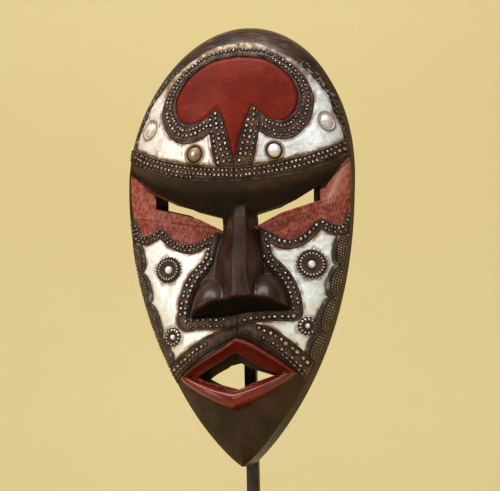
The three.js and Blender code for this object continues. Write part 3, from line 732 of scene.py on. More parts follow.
def outside_lips(x, y):
    """Rough distance outside the lips, negative on them."""
    return (diamond(LIP_OUTER, x, y) - 1) * 30


# What stands up from the wood, and what each band stops short of
CARVED = {"carved_heart": outside_heart, "carved_nose": outside_nose, "carved_lips": outside_lips}
NEIGHBOURS = {
    "brow": [],
    "spike": ["brow", "carved_heart"],
    "heart": ["spike", "carved_heart"],
    "nose": ["carved_nose", "carved_lips"],
    "eye": ["nose", "carved_nose"],
    "lip": ["nose", "carved_lips"],
}


def clear_of(names, out, x, y):
    """Cuts an outline back to its clearance from bands and from what stands up from the wood."""
    for name in names:
        beyond = CARVED[name](x, y) if name in CARVED else outside_band(name, x, y)
        out = np.maximum(out, CLEARANCE - beyond)
    return out


def on_half(side):
    """Where a point of the right half's plan sits on the face, for either half."""
    return lambda x, y: on_face(side * x, y)


def away_from(at, x, y):
    return np.hypot(x - at[0], y - at[1])


# Sides of the face, as the viewer sees them
WORDS = {-1: "left", 1: "right"}

# How far pieces stay from the middle line, the spacing of the grids that bands and strips are cut from, the
# room round a band in its grid, how far a band stays from the rim, and the heights of a band and its beads
MIDDLE_GAP = 0.3
BAND_PITCH = 0.38
BAND_MARGIN = 8
BAND_FROM_RIM = 1.2
PLATE_THICK = 0.95
BEAD_HEIGHT = 1.1

# Rows of beads on each band, left and right:
# how far beside the path, spacing, radius, and the shares of the length where the row starts and ends
BEAD_ROWS = {
    "heart": (
        [
            (1.5, 3.0, 0.9, 0.01, 0.62), (-1.5, 3.0, 0.8, 0.3, 0.66), (1.2, 3.2, 1.05, 0.62, 0.99),
            (-2.6, 3.2, 1.05, 0.64, 0.99),
        ],
        [
            (1.6, 3.2, 0.85, 0.01, 0.99), (-1.6, 3.0, 0.8, 0.12, 0.66), (-2.8, 3.3, 0.9, 0.68, 0.98),
            (4.4, 3.6, 0.75, 0.72, 0.95),
        ],
    ),
    "spike": (
        [(-4.2, 4.1, 1.15, 0.28, 0.98), (-0.2, 4.1, 1.2, 0.1, 0.98), (4.1, 4.1, 1.2, 0.2, 0.98)],
        [(-3.4, 4.4, 1.1, 0.24, 0.98), (0.6, 4.3, 1.2, 0.06, 0.9), (4.4, 4.6, 0.85, 0.3, 0.98)],
    ),
    "brow": (
        [(3.0, 3.3, 0.95, 0.0, 1.0), (-0.6, 3.2, 1.0, 0.0, 1.0), (-3.6, 3.8, 0.85, 0.35, 0.95)],
        [(2.6, 3.4, 1.0, 0.0, 1.0), (-1.2, 3.3, 1.05, 0.0, 1.0)],
    ),
    "eye": (
        [(1.6, 3.1, 0.95, 0.02, 1.0), (-1.5, 3.1, 0.9, 0.1, 1.0)],
        [(0.9, 4.1, 1.25, 0.01, 0.62), (1.3, 3.3, 1.05, 0.62, 1.0), (-1.7, 3.2, 0.85, 0.66, 1.0)],
    ),
    "nose": (
        [
            (2.4, 4.1, 1.15, 0.04, 0.6), (-1.6, 4.1, 1.15, 0.14, 0.6), (-2.2, 5.0, 1.0, 0.62, 0.97),
            (2.2, 5.0, 0.9, 0.66, 0.94),
        ],
        [(1.9, 4.2, 1.05, 0.04, 0.6), (-2.0, 4.2, 1.1, 0.14, 0.6), (1.0, 4.4, 1.35, 0.62, 0.99)],
    ),
    "lip": (
        [(0.8, 3.9, 1.2, 0.34, 0.97), (-2.6, 3.3, 0.7, 0.5, 0.97)],
        [(2.6, 4.6, 1.5, 0.2, 0.97), (-2.4, 4.2, 1.0, 0.3, 0.97), (-5.0, 3.8, 0.8, 0.55, 0.97)],
    ),
}


def band_relief(name, side):
    """Relief of a band: notched lips along both edges, hatching on the brow, and rows of beads."""
    seed = len(name) * 3 + side
    path = PATHS[name]
    beads = beads_on(path, BEAD_ROWS[name][side > 0], seed)

    def relief(x, y, edge):
        up, top, ring = bead_relief(x, y, beads, BEAD_HEIGHT)
        s, beside = path.locate(x, y)
        half = along(WIDTHS[name], s / path.length) / 2
        inward = half - np.abs(beside)
        lip = 0.4 * bell((inward - 0.8) / 0.45)
        notch = 0.16 * np.sin(s * 2 * math.pi / 1.6) * bell((inward - 0.8) / 0.7)
        slant = (s + inward) * 2 * math.pi / 1.9
        hatch = 0.3 * np.sin(slant) * bell((half + beside - 2.0) / 1.1) * (name == "brow")
        rough = 0.26 * noise(x, y, 2.1, seed) + 0.14 * noise(x, y, 1.0, seed + 1)
        rounding = 1 - 0.55 * bell(edge / 0.5)
        height = (PLATE_THICK + lip * (1 - top) + notch + hatch + rough - 0.35 * ring) * rounding + up
        inner_side = ease((2.8 - half - beside) / 0.8) * (name == "nose") * (s < path.length * 0.6)
        sunk = ring + np.clip(-hatch * 3, 0, 1) + 0.8 * bell((inward - 1.9) / 0.5) + 0.8 * inner_side
        return height, {"bead": top, "dark": np.clip(sunk, 0, 1)}

    return relief


def make_band(name, side, material):
    path = PATHS[name]
    box = (path.points.min(0) - BAND_MARGIN, path.points.max(0) + BAND_MARGIN)

    def keep_out(x, y):
        out = np.maximum(outside_band(name, x, y), MIDDLE_GAP - x)
        out = clear_of(NEIGHBOURS[name], out, x, y)
        rim = side * (x * side + drift(y) - lean(y))
        return np.maximum(out, rim - half_width(y) + BAND_FROM_RIM)

    node = f"{name}_band_{WORDS[side]}"
    relief = band_relief(name, side)
    obj = plate(f"{node}_beaded", box, BAND_PITCH, keep_out, on_half(side), relief, side < 0)
    finish_piece(obj, node, material)


SHEET_PITCH = 0.55
SHEET_THICK = 0.75
PEARL_RING = 0.7
PEARL_WIDTH = 0.42
FOREHEAD_BOX = ((0.0, 48.0), (83.0, 156.0))
CHEEK_BOX = ((0.0, -99.0), (84.0, 15.0))


def boss(x, y, at, radius, height, narrow):
    """A dome in a sunk ring inside a raised one, a leaning oval, and how far out each point is."""
    lean_cos, lean_sin = BOSS_LEAN
    short = (x - at[0]) * lean_cos + (y - at[1]) * lean_sin
    long = (y - at[1]) * lean_cos - (x - at[0]) * lean_sin
    r = np.hypot(short * narrow, long / narrow**0.3) / radius
    dome = height * np.sqrt(np.clip(1 - (r / 0.6) ** 2, 0, 1))
    ring = 0.24 * height * bell((r - 0.88) / 0.09)
    sunk = 0.16 * height * bell((r - 0.7) / 0.1)
    return dome + ring - sunk, r


def rosette(x, y, at, radius, pearls, centre, rope_width):
    """A rope-like outer ring, a ring of pearls and a dished middle round a hole for the stud."""
    r = away_from(at, x, y)
    angle = np.arctan2(y - at[1], x - at[0])
    lobes = np.cos(round(pearls * 1.1) * angle)
    outer = radius * (0.97 + 0.03 * lobes)
    rope = 1.5 * bell((r / outer - 0.92) / rope_width) * (0.65 + 0.4 * lobes)
    turn = 2 * math.pi / pearls
    off = (np.mod(angle + turn / 2, turn) - turn / 2) * radius * PEARL_RING
    size = radius * PEARL_RING * turn * PEARL_WIDTH
    away = ((r - radius * PEARL_RING) / (size * 1.25)) ** 2 + (off / size) ** 2
    pearl = np.sqrt(np.clip(1 - away, 0, 1))
    dish = 0.9 * ease((r - centre) / 2.5) * (r < radius * 0.75)
    inside = ease((outer * 1.04 - r) / 0.5)
    shine = np.maximum(pearl * 1.1, rope * 0.62)
    return (rope + dish + pearl * 1.1) * inside, np.clip(shine, 0, 1) * inside, inside


def hammered(dents, edge):
    """Height of a dented sheet, even and rounded over towards its edge."""
    return (SHEET_THICK + dents * ease(edge / 3)) * (1 - 0.5 * bell(edge / 0.4))


def make_forehead_sheet(side, material):
    corner = len(FOREHEAD_FIELD) - 2
    ragged = curve(FOREHEAD_FIELD[:corner], 160)
    rx, ry = ragged.T
    wobble = np.stack([noise(ry, rx, 6, 3 + side), noise(rx, ry, 5, 8)], -1)
    outline = np.vstack([ragged + 0.5 * wobble, FOREHEAD_FIELD[corner:]])

    def keep_out(x, y):
        out = np.maximum(outside(outline, x, y), MIDDLE_GAP - x)
        return clear_of(["heart", "spike", "brow", "carved_heart"], out, x, y)

    def relief(x, y, edge):
        big, out_big = boss(x, y, **BOSS)
        small, out_small = boss(x, y, **SMALL_BOSS)
        dents = 0.3 * noise(x, y, 9, 4 + side) + 0.22 * noise(x, y, 3.5, 6)
        height = hammered(dents, edge) + big + small
        stained = ease((out_big - 0.5) / 0.12) * ease((1.04 - out_big) / 0.12)
        # Brown over the whole left dome and on the lower half of the right one; the small dome's lower half
        # is browner too
        brown_dome = 0.84 if side < 0 else 0.25 * (y < BOSS["at"][1] - 1)
        small_rings = 0.95 * bell((out_small - 0.94) / 0.13) + 0.55 * bell((out_small - 0.66) / 0.12)
        brown = stained * (1 - 0.4 * bell((out_big - 0.86) / 0.07))
        brown = np.maximum(brown, brown_dome * (out_big < 0.55) * (out_big > 0.16))
        brown = np.maximum(brown, small_rings)
        brown = np.maximum(brown, 0.3 * (out_small < 0.6) * (y < SMALL_BOSS["at"][1]))
        brown = np.clip(brown, 0, 1)
        return height, {"bead": np.clip((big + small) / 3, 0, 1) * (1 - brown), "dark": brown}

    node = f"forehead_sheet_{WORDS[side]}"
    obj = plate(f"{node}_metal", FOREHEAD_BOX, SHEET_PITCH, keep_out, on_half(side), relief, side < 0)
    finish_piece(obj, node, material)


def strip_inner(y):
    """Distance in from the rim of the lobed inner edge."""
    inner = np.full(y.shape, CUSP_INSET)
    for high, low in zip(CUSP_HEIGHTS, CUSP_HEIGHTS[1:]):
        t = (high - y) / (high - low)
        bulge = LOBE_BULGE * np.sqrt(np.clip(1 - (2 * t - 1) ** 2, 0, 1))
        inner = np.where((t >= 0) & (t <= 1), CUSP_INSET + bulge, inner)
    return inner


def inset_from_rim(side, x, y):
    px, py = on_face(side * x, y)
    return half_width(py) - side * (px - lean(py)), py


def make_cheek_sheet(side, material):
    outline = np.array(CHEEK_FIELD, float)

    def keep_out(x, y):
        out = np.maximum(outside(outline, x, y), MIDDLE_GAP - x)
        out = clear_of(["eye", "nose", "lip", "carved_nose", "carved_lips"], out, x, y)
        inset, py = inset_from_rim(side, x, y)
        out = np.maximum(out, strip_inner(py) + CLEARANCE - inset)
        out = np.maximum(out, STUD_HOLE - away_from(ROSETTE_AT, x, y))
        return np.maximum(out, LOW_STUD_HOLE - away_from(LOW_ROSETTE_AT, x, y))

    def relief(x, y, edge):
        up, pearl, dark = rosette(x, y, **ROSETTE[side])
        low_up, low_pearl, low_dark = rosette(x, y, **LOW_ROSETTE)
        dents = 0.26 * noise(x, y, 8, 14 + side) + 0.18 * noise(x, y, 3.2, 16)
        height = hammered(dents, edge) + up + low_up * 0.8
        beyond = np.minimum(
            away_from(ROSETTE_AT, x, y) - ROSETTE[side]["radius"],
            away_from(LOW_ROSETTE_AT, x, y) - LOW_ROSETTE["radius"],
        )
        halo = 0.55 * ease((2.6 - beyond - 1.6 * noise(x, y, 3.5, 21)) / 2.4)
        dark = np.maximum(np.maximum(dark, low_dark), halo * (beyond > 0))
        return height, {"bead": np.maximum(pearl, low_pearl), "dark": dark}

    node = f"cheek_sheet_{WORDS[side]}"
    obj = plate(f"{node}_metal", CHEEK_BOX, SHEET_PITCH, keep_out, on_half(side), relief, side < 0)
    finish_piece(obj, node, material)


STRIP_BOX = ((0.4, -91.5), (11.2, 5.5))
STRIP_THICK = 0.55
STRIP_ROWS = (4.2, 5.9, 7.6, 9.3)
STRIP_SPACING = 1.9
STRIP_BEAD = 0.72


def make_edge_strip(side, material):
    """A strip along the rim: its own grid runs from the rim inwards and up."""

    def place(inset, y):
        return side * (half_width(y) - inset) + lean(y), y

    def keep_out(inset, y):
        out = np.maximum(inset - strip_inner(y), STRIP_INSET - inset)
        out = np.maximum(out, np.maximum(y - STRIP_TOP, STRIP_FOOT - y))
        px, py = on_plan(*place(inset, y))
        return clear_of(["eye", "lip"], out, side * px, py)

    def relief(inset, y, edge):
        within = strip_inner(y) - inset
        rolled = 1 - ease((within - 2.3) / 0.9)
        roll = 0.9 * np.sqrt(np.clip(1 - ((within - 1.5) / 1.7) ** 2, 0, 1))
        rows_up = np.zeros(inset.shape)
        for depth in STRIP_ROWS:
            t = np.mod(y + depth * 0.37, STRIP_SPACING) / STRIP_SPACING - 0.5
            away = ((within - depth) / STRIP_BEAD) ** 2 + (t * STRIP_SPACING / STRIP_BEAD) ** 2
            rows_up = np.maximum(rows_up, np.sqrt(np.clip(1 - away, 0, 1)))
        rough = 0.1 * noise(inset * 2, y, 1.5, 30 + side)
        rounding = 1 - 0.4 * bell(edge / 0.45)
        height = (STRIP_THICK + rough) * rounding + roll + rows_up * 0.7
        worn = noise(inset, y, 3, 50 + side)
        sunk = bell((within - 3.2) / 0.4) + 0.5 * (1 - rows_up) * (1 - rolled)
        return height, {"bead": rows_up * (0.98 + 0.14 * worn), "dark": np.clip(sunk, 0, 1), "smooth": rolled}

    node = f"edge_strip_{WORDS[side]}"
    obj = plate(f"{node}_beaded", STRIP_BOX, BAND_PITCH, keep_out, place, relief, side > 0)
    finish_piece(obj, node, material)


# Wooden body

# The hollow behind as shares of the carving's width, height and depth, and the height it shrinks towards
HOLLOW = {"wide": 0.85, "high": 0.9, "deep": 0.755, "middle": 2.5}

# Rounds in which a point's place across and its height settle on each other
SETTLING_ROUNDS = 14


def spot(u, v):
    """Grid of the front: u runs across from rim to rim, v from the chin over lid and brow to the top."""
    y = np.zeros_like(u + v)
    for _ in range(SETTLING_ROUNDS):
        x = u * half_width(y)
        lower = mix(TIP, np.maximum(lid_line(x), TIP), 1 - (1 - np.clip(v, 0, 1)) ** 1.35)
        between = mix(lid_line(x), brow_line(x), v - 1)
        upper = mix(brow_line(x), TOP, 1 - (3 - np.clip(v, 2, 3)) ** 1.5)
        y = np.where(v <= 1, lower, np.where(v <= 2, between, upper))
    x = np.where((v <= 0) | (v >= 3), 0, x)
    return x, y


# Rows of the body's grid from the chin to the lid, on to the brow and on to the top, and columns across
ROWS = (195, 34, 92)
COLUMNS = 200
BACK_COLUMNS = 44
# Where the points of a side sit, as shares of the way from rim to back, and those of the hollow's wall,
# as shares of the way from the back to the hollow's roof
SIDE_SHARES = np.array([0.1, 0.3, 0.55, 0.8, 0.93, 0.98, 1.0])
WALL_SHARES = (0.0, 0.15, 0.6)


def body_grid():
    """One closed loop of points for each height: front, right side, hollow back, left side."""
    lower, between, upper = (steps(k, k + 1, count) for k, count in enumerate(ROWS))
    heights = np.concatenate([lower, between[1:], upper[1:]])[:, None]
    s = steps(-1, 1, COLUMNS)[None, :]
    across = s * (1.16 - 0.16 * s * s)
    x, y = spot(across, heights)
    px = x + lean(y)
    front = np.stack([px, y, front_depth(px, y)], -1)
    rim_x, rim_y = spot(np.ones((1, 1)), heights)
    rim_z = rim_depth(rim_y)

    def side(sign, shares):
        t = shares[None, :]
        z = rim_z * (1 - t)
        inward = side_taper(rim_y) * t + 0.9 * bell(z / 1.2)
        reach = np.maximum(rim_x - inward, 0)
        return np.stack([sign * reach + lean(rim_y), rim_y + 0 * t, z], -1)

    def inner(u, deep):
        hx, hy = spot(u, heights)
        height = mix(HOLLOW["middle"], hy, HOLLOW["high"])
        depth = surface(hx, hy) * HOLLOW["deep"]
        marks = 0.5 * noise(hx, hy * 0.6, 9, 40) * (deep > 0.9)
        return np.stack([hx * HOLLOW["wide"] + lean(height), height, depth * deep + marks], -1)

    right = side(1, SIDE_SHARES)
    left = side(-1, SIDE_SHARES[::-1])
    ones = np.ones((1, 1))
    interior = inner(steps(1, -1, BACK_COLUMNS)[None, :], 1.0)
    walls_in = [inner(ones, share) for share in WALL_SHARES]
    walls_out = [inner(-ones, share) for share in WALL_SHARES[::-1]]
    return np.concatenate([front, right, *walls_in, interior, *walls_out, left], 1)


def prism_object(front, back):
    """A cutter between two outlines in the mask's millimetres."""
    count = len(front)
    points = to_world(np.vstack([front, back]))
    faces = [list(range(count)), list(range(2 * count - 1, count - 1, -1))]
    faces += [[k, k + count, (k + 1) % count + count, (k + 1) % count] for k in range(count)]
    obj = new_object("cutter", points, faces)
    only(obj)
    bpy.ops.object.mode_set(mode="EDIT")
    bpy.ops.mesh.select_all(action="SELECT")
    bpy.ops.mesh.normals_make_consistent(inside=False)
    bpy.ops.object.mode_set(mode="OBJECT")
    return obj


def cut(obj, cutters):
    for cutter in cutters:
        modifier = obj.modifiers.new("cut", "BOOLEAN")
        modifier.operation = "DIFFERENCE"
        modifier.solver = "MANIFOLD"
        modifier.object = cutter
    evaluated = obj.evaluated_get(bpy.context.evaluated_depsgraph_get())
    mesh = bpy.data.meshes.new_from_object(evaluated)
    obj.modifiers.clear()
    obj.data = mesh
    for cutter in cutters:
        bpy.data.objects.remove(cutter)


def plan_outline(points, depth):
    x, y = on_face(*np.array(points, float).T)
    return np.stack([x, y, np.full(len(x), float(depth))], -1)


# Both corners of the eye slits' inner end, the height of the lower outer corner, and for each slit the upper
# outer corner at the front and at the back of its cutter
SLIT_INNER = ((12.6, 11.5), (12.6, 21.3))
SLIT_OUTER_LOW = 30.5
SLIT_OUTER = {-1: ((88.0, 44.0), (49.5, 38.0)), 1: ((79.0, 42.5), (48.4, 42.5))}
# The mouth's outline at the front and at the back of its cutter
MOUTH_CORNER = LIP_INNER["corner"]
MOUTH_FRONT = [(-40, MOUTH_CORNER), (-20, -104.2), (0, -110.4), (40, MOUTH_CORNER), (0, -75.5), (-12, -82.2)]
MOUTH_BACK = [(-19.5, -100), (-8, -106), (5, -110), (26, -100.5), (2, -93.5), (-7.5, -94.5)]
# How far forward the front and the back of each cutter lie
SLIT_CUT = (72, 20)
MOUTH_CUT = (82, 36)


def eye_cutter(side):
    inner_low, inner_high = SLIT_INNER
    outlines = []
    for (end, high), depth in zip(SLIT_OUTER[side], SLIT_CUT):
        corners = [inner_low, (end, SLIT_OUTER_LOW), (end, high), inner_high]
        outlines.append(plan_outline([(side * x, y) for x, y in corners], depth))
    return prism_object(*outlines)


def mouth_cutter():
    front, back = MOUTH_CUT
    return prism_object(plan_outline(MOUTH_FRONT, front), plan_outline(MOUTH_BACK, back))


def mesh_curvature(mesh):
    """How convex the surface is at each vertex, in 1/mm, a little blurred."""
    co = vertices(mesh) / MM
    normals = read(mesh.vertex_normals, "vector")
    a, b = read(mesh.edges, "vertices", 2, np.int64).T
    step = co[b] - co[a]
    length = np.maximum((step**2).sum(1), 1e-3)
    bend_a = -(step * normals[a]).sum(1) / length
    bend_b = (step * normals[b]).sum(1) / length
    degree = np.bincount(a, minlength=len(co)) + np.bincount(b, minlength=len(co))
    total = np.bincount(a, bend_a, len(co)) + np.bincount(b, bend_b, len(co))
    value = np.clip(total / np.maximum(degree, 1), -1, 1)
    for _ in range(2):
        around = np.bincount(a, value[b], len(co)) + np.bincount(b, value[a], len(co))
        value = (value + around / np.maximum(degree, 1)) / 2
    return value


# Outline of the red field under each eye: the part that both halves share, then its outer end
UNDER_EYE = [
    (12.6, 16), (12.5, 21.5), (12.6, 10), (19, 6), (25, 3), (33, -0.5), (40, -1.2), (50, 3), (56, 8.5),
    (61, 13), (66, 10.5), (73, 8.5), (79, 12), (84, 22), (86, 44),
]
UNDER_EYE_TOPS = {
    -1: [(86.5, 57.5), (78, 53), (71.5, 47.7), (65.7, 42.6)],
    1: [(83.2, 64.5), (77, 57.5), (71, 49.5), (64.8, 40.5)],
}


def inside_under_eye(x, y):
    left = -outside(np.array(UNDER_EYE + UNDER_EYE_TOPS[-1], float), -x, y)
    right = -outside(np.array(UNDER_EYE + UNDER_EYE_TOPS[1], float), x, y)
    return np.where(x < 0, left, right)


def from_rim(x, y):
    """How far in from the outline a place on the face is."""
    return half_width(y) - np.abs(x - lean(y))


FLANK_WIDTH = 5
PAINT_DEPTH = 2.5
LIP_PAINT_ABOVE = -127
UNPAINTED = -9


def mark_body(mesh):
    """What the finish reads: painted fields, painted shade in hollows, convex and sunk places, flanks and
    back.
    """
    mx, my, mz = to_mask(read(mesh.polygons, "center")).T
    face_turned = read(mesh.polygons, "normal")[:, 1]
    # Faces of the slit and mouth walls, which the finish paints near black as painted shade
    wall = (front_depth(mx, my) - mz > 1.5) & (from_rim(mx, my) > FLANK_WIDTH) & (face_turned < 0.3)
    set_attribute(mesh, "wall", wall, "FACE")

    x, y, z = to_mask(vertices(mesh)).T
    px, py = on_plan(x, y)
    across, turned = read(mesh.vertex_normals, "vector")[:, :2].T
    top = front_depth(x, y)
    below = top - z
    behind = ease((turned - 0.1) / 0.3)
    # Flanks near the rim, painted paler as painted bounce light from the backdrop
    flank = ease((np.abs(across) - 0.6) / 0.25) * (from_rim(x, y) < FLANK_WIDTH)
    share = lip_share(px, py)
    lips = np.where((py < LIPS_BELOW) & (py > LIP_PAINT_ABOVE), np.minimum(share * 5, 6 - below), UNPAINTED)
    # Inner facet of the upper lip, darkened as painted shade
    inner_facet_shade = ease((share - 0.3) / 0.12) * (py > LIP_OUTER["corner"]) * (lips > 0)
    # Underside of the nose and the wood under the brow, painted dark as painted shade
    nostrils = ease((nose_edge(px) - py) / 1.5) * ease((py - NOSE_FOOT + 1.5) / 1.5)
    nostrils = nostrils * (np.abs(px - NOSE_MIDDLE) < NOSE_REACH - 2)
    beside = x - lean(y)
    under_brow = ease((brow_line(beside) - y - 1) / 9) * (y > lid_line(beside) - 3) * 0.75
    nose = ease((top - depth_at(x, y)) / 4) * (py < NOSE_TOP)
    beyond = outside(np.array(FOREHEAD_FIELD, float), np.abs(px), py)
    beside_sheet = ease((beyond - 0.4) / 0.8) * ease((6.4 - beyond) / 1.2)
    rim_strip = beside_sheet * ease((py - 70) / 4) * ease((142 - py) / 8)
    marks = {
        "heart": np.minimum(-outside_heart(px, y), PAINT_DEPTH - below),
        "lips": lips,
        "under_eye": np.minimum(inside_under_eye(px, py), PAINT_DEPTH - below),
        "behind": behind,
        "flank": flank,
        "shaded_lip_facet": inner_facet_shade,
        "shadow": np.maximum(nostrils, under_brow * (1 - nose)),
        "convex": mesh_curvature(mesh),
        # Crest of the ridge beside the right slit, where a painted highlight goes
        "eye_ridge": eye_ridge(px, py, 2.8),
        "rim_strip": rim_strip * (below < 3) * (1 - behind),
    }
    for name, values in marks.items():
        set_attribute(mesh, name, values)


def make_body(material):
    grid = body_grid()
    rows, columns = grid.shape[:2]
    points = to_world(grid.reshape(-1, 3))
    number = np.arange(rows * columns).reshape(rows, columns)
    after = np.roll(number, -1, axis=1)
    quads = np.stack([number[:-1], after[:-1], after[1:], number[1:]], -1).reshape(-1, 4)
    obj = new_object("carved_mask", points, quads.tolist())
    only(obj)
    bpy.ops.object.mode_set(mode="EDIT")
    bpy.ops.mesh.select_all(action="SELECT")
    bpy.ops.mesh.remove_doubles(threshold=2e-6)
    bpy.ops.mesh.dissolve_degenerate(threshold=1e-6)
    bpy.ops.object.mode_set(mode="OBJECT")
    cut(obj, [eye_cutter(-1), eye_cutter(1), mouth_cutter()])
    smooth(obj.data, 42)
    mark_body(obj.data)
    finish_piece(obj, "mask_body", material)


# Materials


class Value:
    """A shader value that combines with others by ordinary arithmetic."""

    def __init__(self, shade, socket):
        self.shade = shade
        self.socket = socket

    def math(self, operation, *others, **settings):
        node = self.shade.node("ShaderNodeMath", [self, *others], operation=operation, **settings)
        return Value(self.shade, node.outputs[0])

    def __add__(self, other):
        return self.math("ADD", other)

    def __mul__(self, other):
        return self.math("MULTIPLY", other)

    def __sub__(self, other):
        return self.math("SUBTRACT", other)

    def __rsub__(self, other):
        node = self.shade.node("ShaderNodeMath", [other, self], operation="SUBTRACT")
        return Value(self.shade, node.outputs[0])

    __radd__ = __add__
    __rmul__ = __mul__

    def max(self, other):
        return self.math("MAXIMUM", other)

    def clamp(self):
        return self.math("ADD", 0.0, use_clamp=True)

    def between(self, low, high):
        """0 at low, 1 at high and smooth in between, also where high is the smaller number."""
        node = self.shade.node("ShaderNodeMapRange", {"Value": self, "From Min": low, "From Max": high})
        node.interpolation_type = "SMOOTHSTEP"
        return Value(self.shade, node.outputs[0])


class Shade:
    """One material and its nodes."""

    def __init__(self, name, **constants):
        self.material = bpy.data.materials.new(name)
        self.material.use_nodes = True
        self.tree = self.material.node_tree
        self.surface = self.tree.nodes["Principled BSDF"]
        for socket, value in constants.items():
            self.surface.inputs[socket.replace("_", " ")].default_value = value
        self.place = self.node("ShaderNodeTexCoord").outputs["Object"]

    def node(self, kind, inputs=(), **settings):
        node = self.tree.nodes.new(kind)
        for key, value in settings.items():
            setattr(node, key, value)
        pairs = inputs.items() if isinstance(inputs, dict) else enumerate(inputs)
        for key, value in pairs:
            self.connect(node.inputs[key], value)
        return node

    def connect(self, socket, value):
        if isinstance(value, Value):
            value = value.socket
        if isinstance(value, bpy.types.NodeSocket):
            self.tree.links.new(value, socket)
        else:
            socket.default_value = value

    def attribute(self, name):
        return Value(self, self.node("ShaderNodeAttribute", attribute_name=name).outputs["Fac"])

    def noise(self, size, detail=3.0, roughness=0.5, stretch=(1, 1, 1)):
        """Noise from 0 to 1 with lumps of the given size in mm, drawn out where the stretch is under 1."""
        place = self.node("ShaderNodeVectorMath", [self.place, stretch], operation="MULTIPLY").outputs[0]
        inputs = {"Vector": place, "Scale": 1 / (size * MM), "Detail": detail, "Roughness": roughness}
        return Value(self, self.node("ShaderNodeTexNoise", inputs).outputs[0])

    def axis(self, index):
        """The place along one axis, in mm."""
        split = self.node("ShaderNodeSeparateXYZ", [self.place])
        return Value(self, split.outputs[index]) * (1 / MM)

    def blend(self, low, high, factor):
        """Mix of two colours or sockets."""
        node = self.node("ShaderNodeMix", data_type="RGBA")
        self.connect(node.inputs["Factor"], factor)
        for key, colour in ((6, low), (7, high)):
            self.connect(node.inputs[key], (*colour, 1) if isinstance(colour, tuple) else colour)
        return node.outputs[2]

    def blend_value(self, low, high, factor):
        """Mix of two numbers or values."""
        node = self.node("ShaderNodeMix", {"Factor": factor, "A": low, "B": high})
        return Value(self, node.outputs[0])

    def bump(self, height, strength, distance):
        """Adds a bump of height times distance mm on top of what is already there."""
        before = self.surface.inputs["Normal"].links
        inputs = {"Height": height, "Strength": strength, "Distance": distance * MM}
        if before:
            inputs["Normal"] = before[0].from_socket
        node = self.node("ShaderNodeBump", inputs)
        self.tree.links.new(node.outputs[0], self.surface.inputs["Normal"])

    def set(self, socket, value):
        self.connect(self.surface.inputs[socket], value)


def srgb(red, green, blue):
    """Linear colour of 0 to 255 screen values."""
    values = [c / 255 for c in (red, green, blue)]
    return tuple(c / 12.92 if c <= 0.04045 else ((c + 0.055) / 1.055) ** 2.4 for c in values)


# Colours of the wood, with painted shade for hollows and creases and painted bounce light for the flanks
DARK_WOOD = srgb(34, 21, 15)
BROWN_WOOD = srgb(66, 42, 30)
GRAIN_LINES = srgb(26, 19, 16)
# Paler olive brown: painted bounce light on the flanks
FLANK_BOUNCE_LIGHT = srgb(66, 50, 32)
WORN_WOOD = srgb(104, 54, 34)
CROWN_WOOD = srgb(112, 88, 68)
BACK_PALE = srgb(92, 70, 50)
BACK_DARK = srgb(58, 43, 32)
RIM_STRIP = srgb(44, 36, 32)
RIM_KNOTS = srgb(156, 146, 138)
# Painted shade for concave creases
CREASE_SHADE = srgb(14, 10, 9)
# Near-black painted shade for walls, hollows and the undersides of nose and brow
HOLLOW_SHADE = srgb(10, 7, 5)

# Paint on the heart and the lips, and the dustier paint under the eyes, with painted shade and painted
# highlights on the lips and a painted highlight on the ridge beside the right slit
RED = srgb(102, 23, 8)
PALE_RED = srgb(122, 33, 15)
RED_STREAKS = srgb(72, 14, 5)
RED_RUBBED = srgb(168, 84, 58)
# Rubbed paint and a painted highlight on the lips' crests
LIP_RUBBED_AND_SHEEN = srgb(162, 84, 68)
# Dark red painted shade for the upper lip's inner facet
LIP_SHADE_RED = srgb(74, 15, 8)
DUSTY_RED = srgb(140, 62, 50)
DUSTY_PINK = srgb(182, 108, 94)
DUSTY_SPOTS = srgb(88, 32, 26)
# Painted highlight along the ridge beside the right slit
RIDGE_HIGHLIGHT = srgb(214, 158, 148)
STROKES = srgb(52, 26, 23)

# Bright sheets, cooler on the right half and warmer on the left, with painted reflection in cool clouds on
# the right, a painted highlight on the lower left cheek and painted shade in the bosses' rings
COOL_METAL = srgb(244, 250, 255)
WARM_METAL = srgb(255, 247, 241)
# Plain white for the lower left cheek: painted highlight
CHEEK_HIGHLIGHT_WHITE = srgb(252, 252, 252)
# Cool grey clouds on the right half: painted reflection
COOL_REFLECTION_CLOUD = srgb(176, 186, 196)
WARM_CLOUD = srgb(222, 190, 168)
DULL_METAL = srgb(206, 198, 188)
STAIN = srgb(128, 80, 48)
DARK_TARNISH = srgb(98, 70, 42)
PALE_TARNISH = srgb(204, 178, 132)
CRACKS = srgb(80, 50, 36)
RING_BROWN = srgb(92, 52, 28)
RING_TAN = srgb(150, 100, 58)
# Painted shade in the bosses' sunk rings
RING_GROOVE_SHADE = srgb(42, 26, 17)
ROSETTE_DARK = srgb(52, 36, 28)
ROSETTE_BROWN = srgb(92, 64, 46)

# Beaded strips, with a painted highlight on the rolled lip
STRIP_DARK = srgb(52, 36, 29)
STRIP_BROWN = srgb(102, 77, 64)
STRIP_SPOTS = srgb(28, 20, 17)
STRIP_GROOVE = srgb(15, 11, 9)
BEAD_FLANK = srgb(140, 114, 98)
DULL_TIP = srgb(206, 196, 186)
BRIGHT_TIP = srgb(250, 249, 247)
DARK_ROLL = srgb(60, 56, 56)
ROLL_HIGHLIGHT = srgb(150, 156, 164)

# Steel and backdrop
BLACK_STEEL = srgb(44, 38, 38)
GREY_STEEL = srgb(74, 68, 70)
RUST = srgb(84, 52, 36)
PALE_WALL = srgb(232, 216, 164)
WARM_WALL = srgb(226, 209, 156)

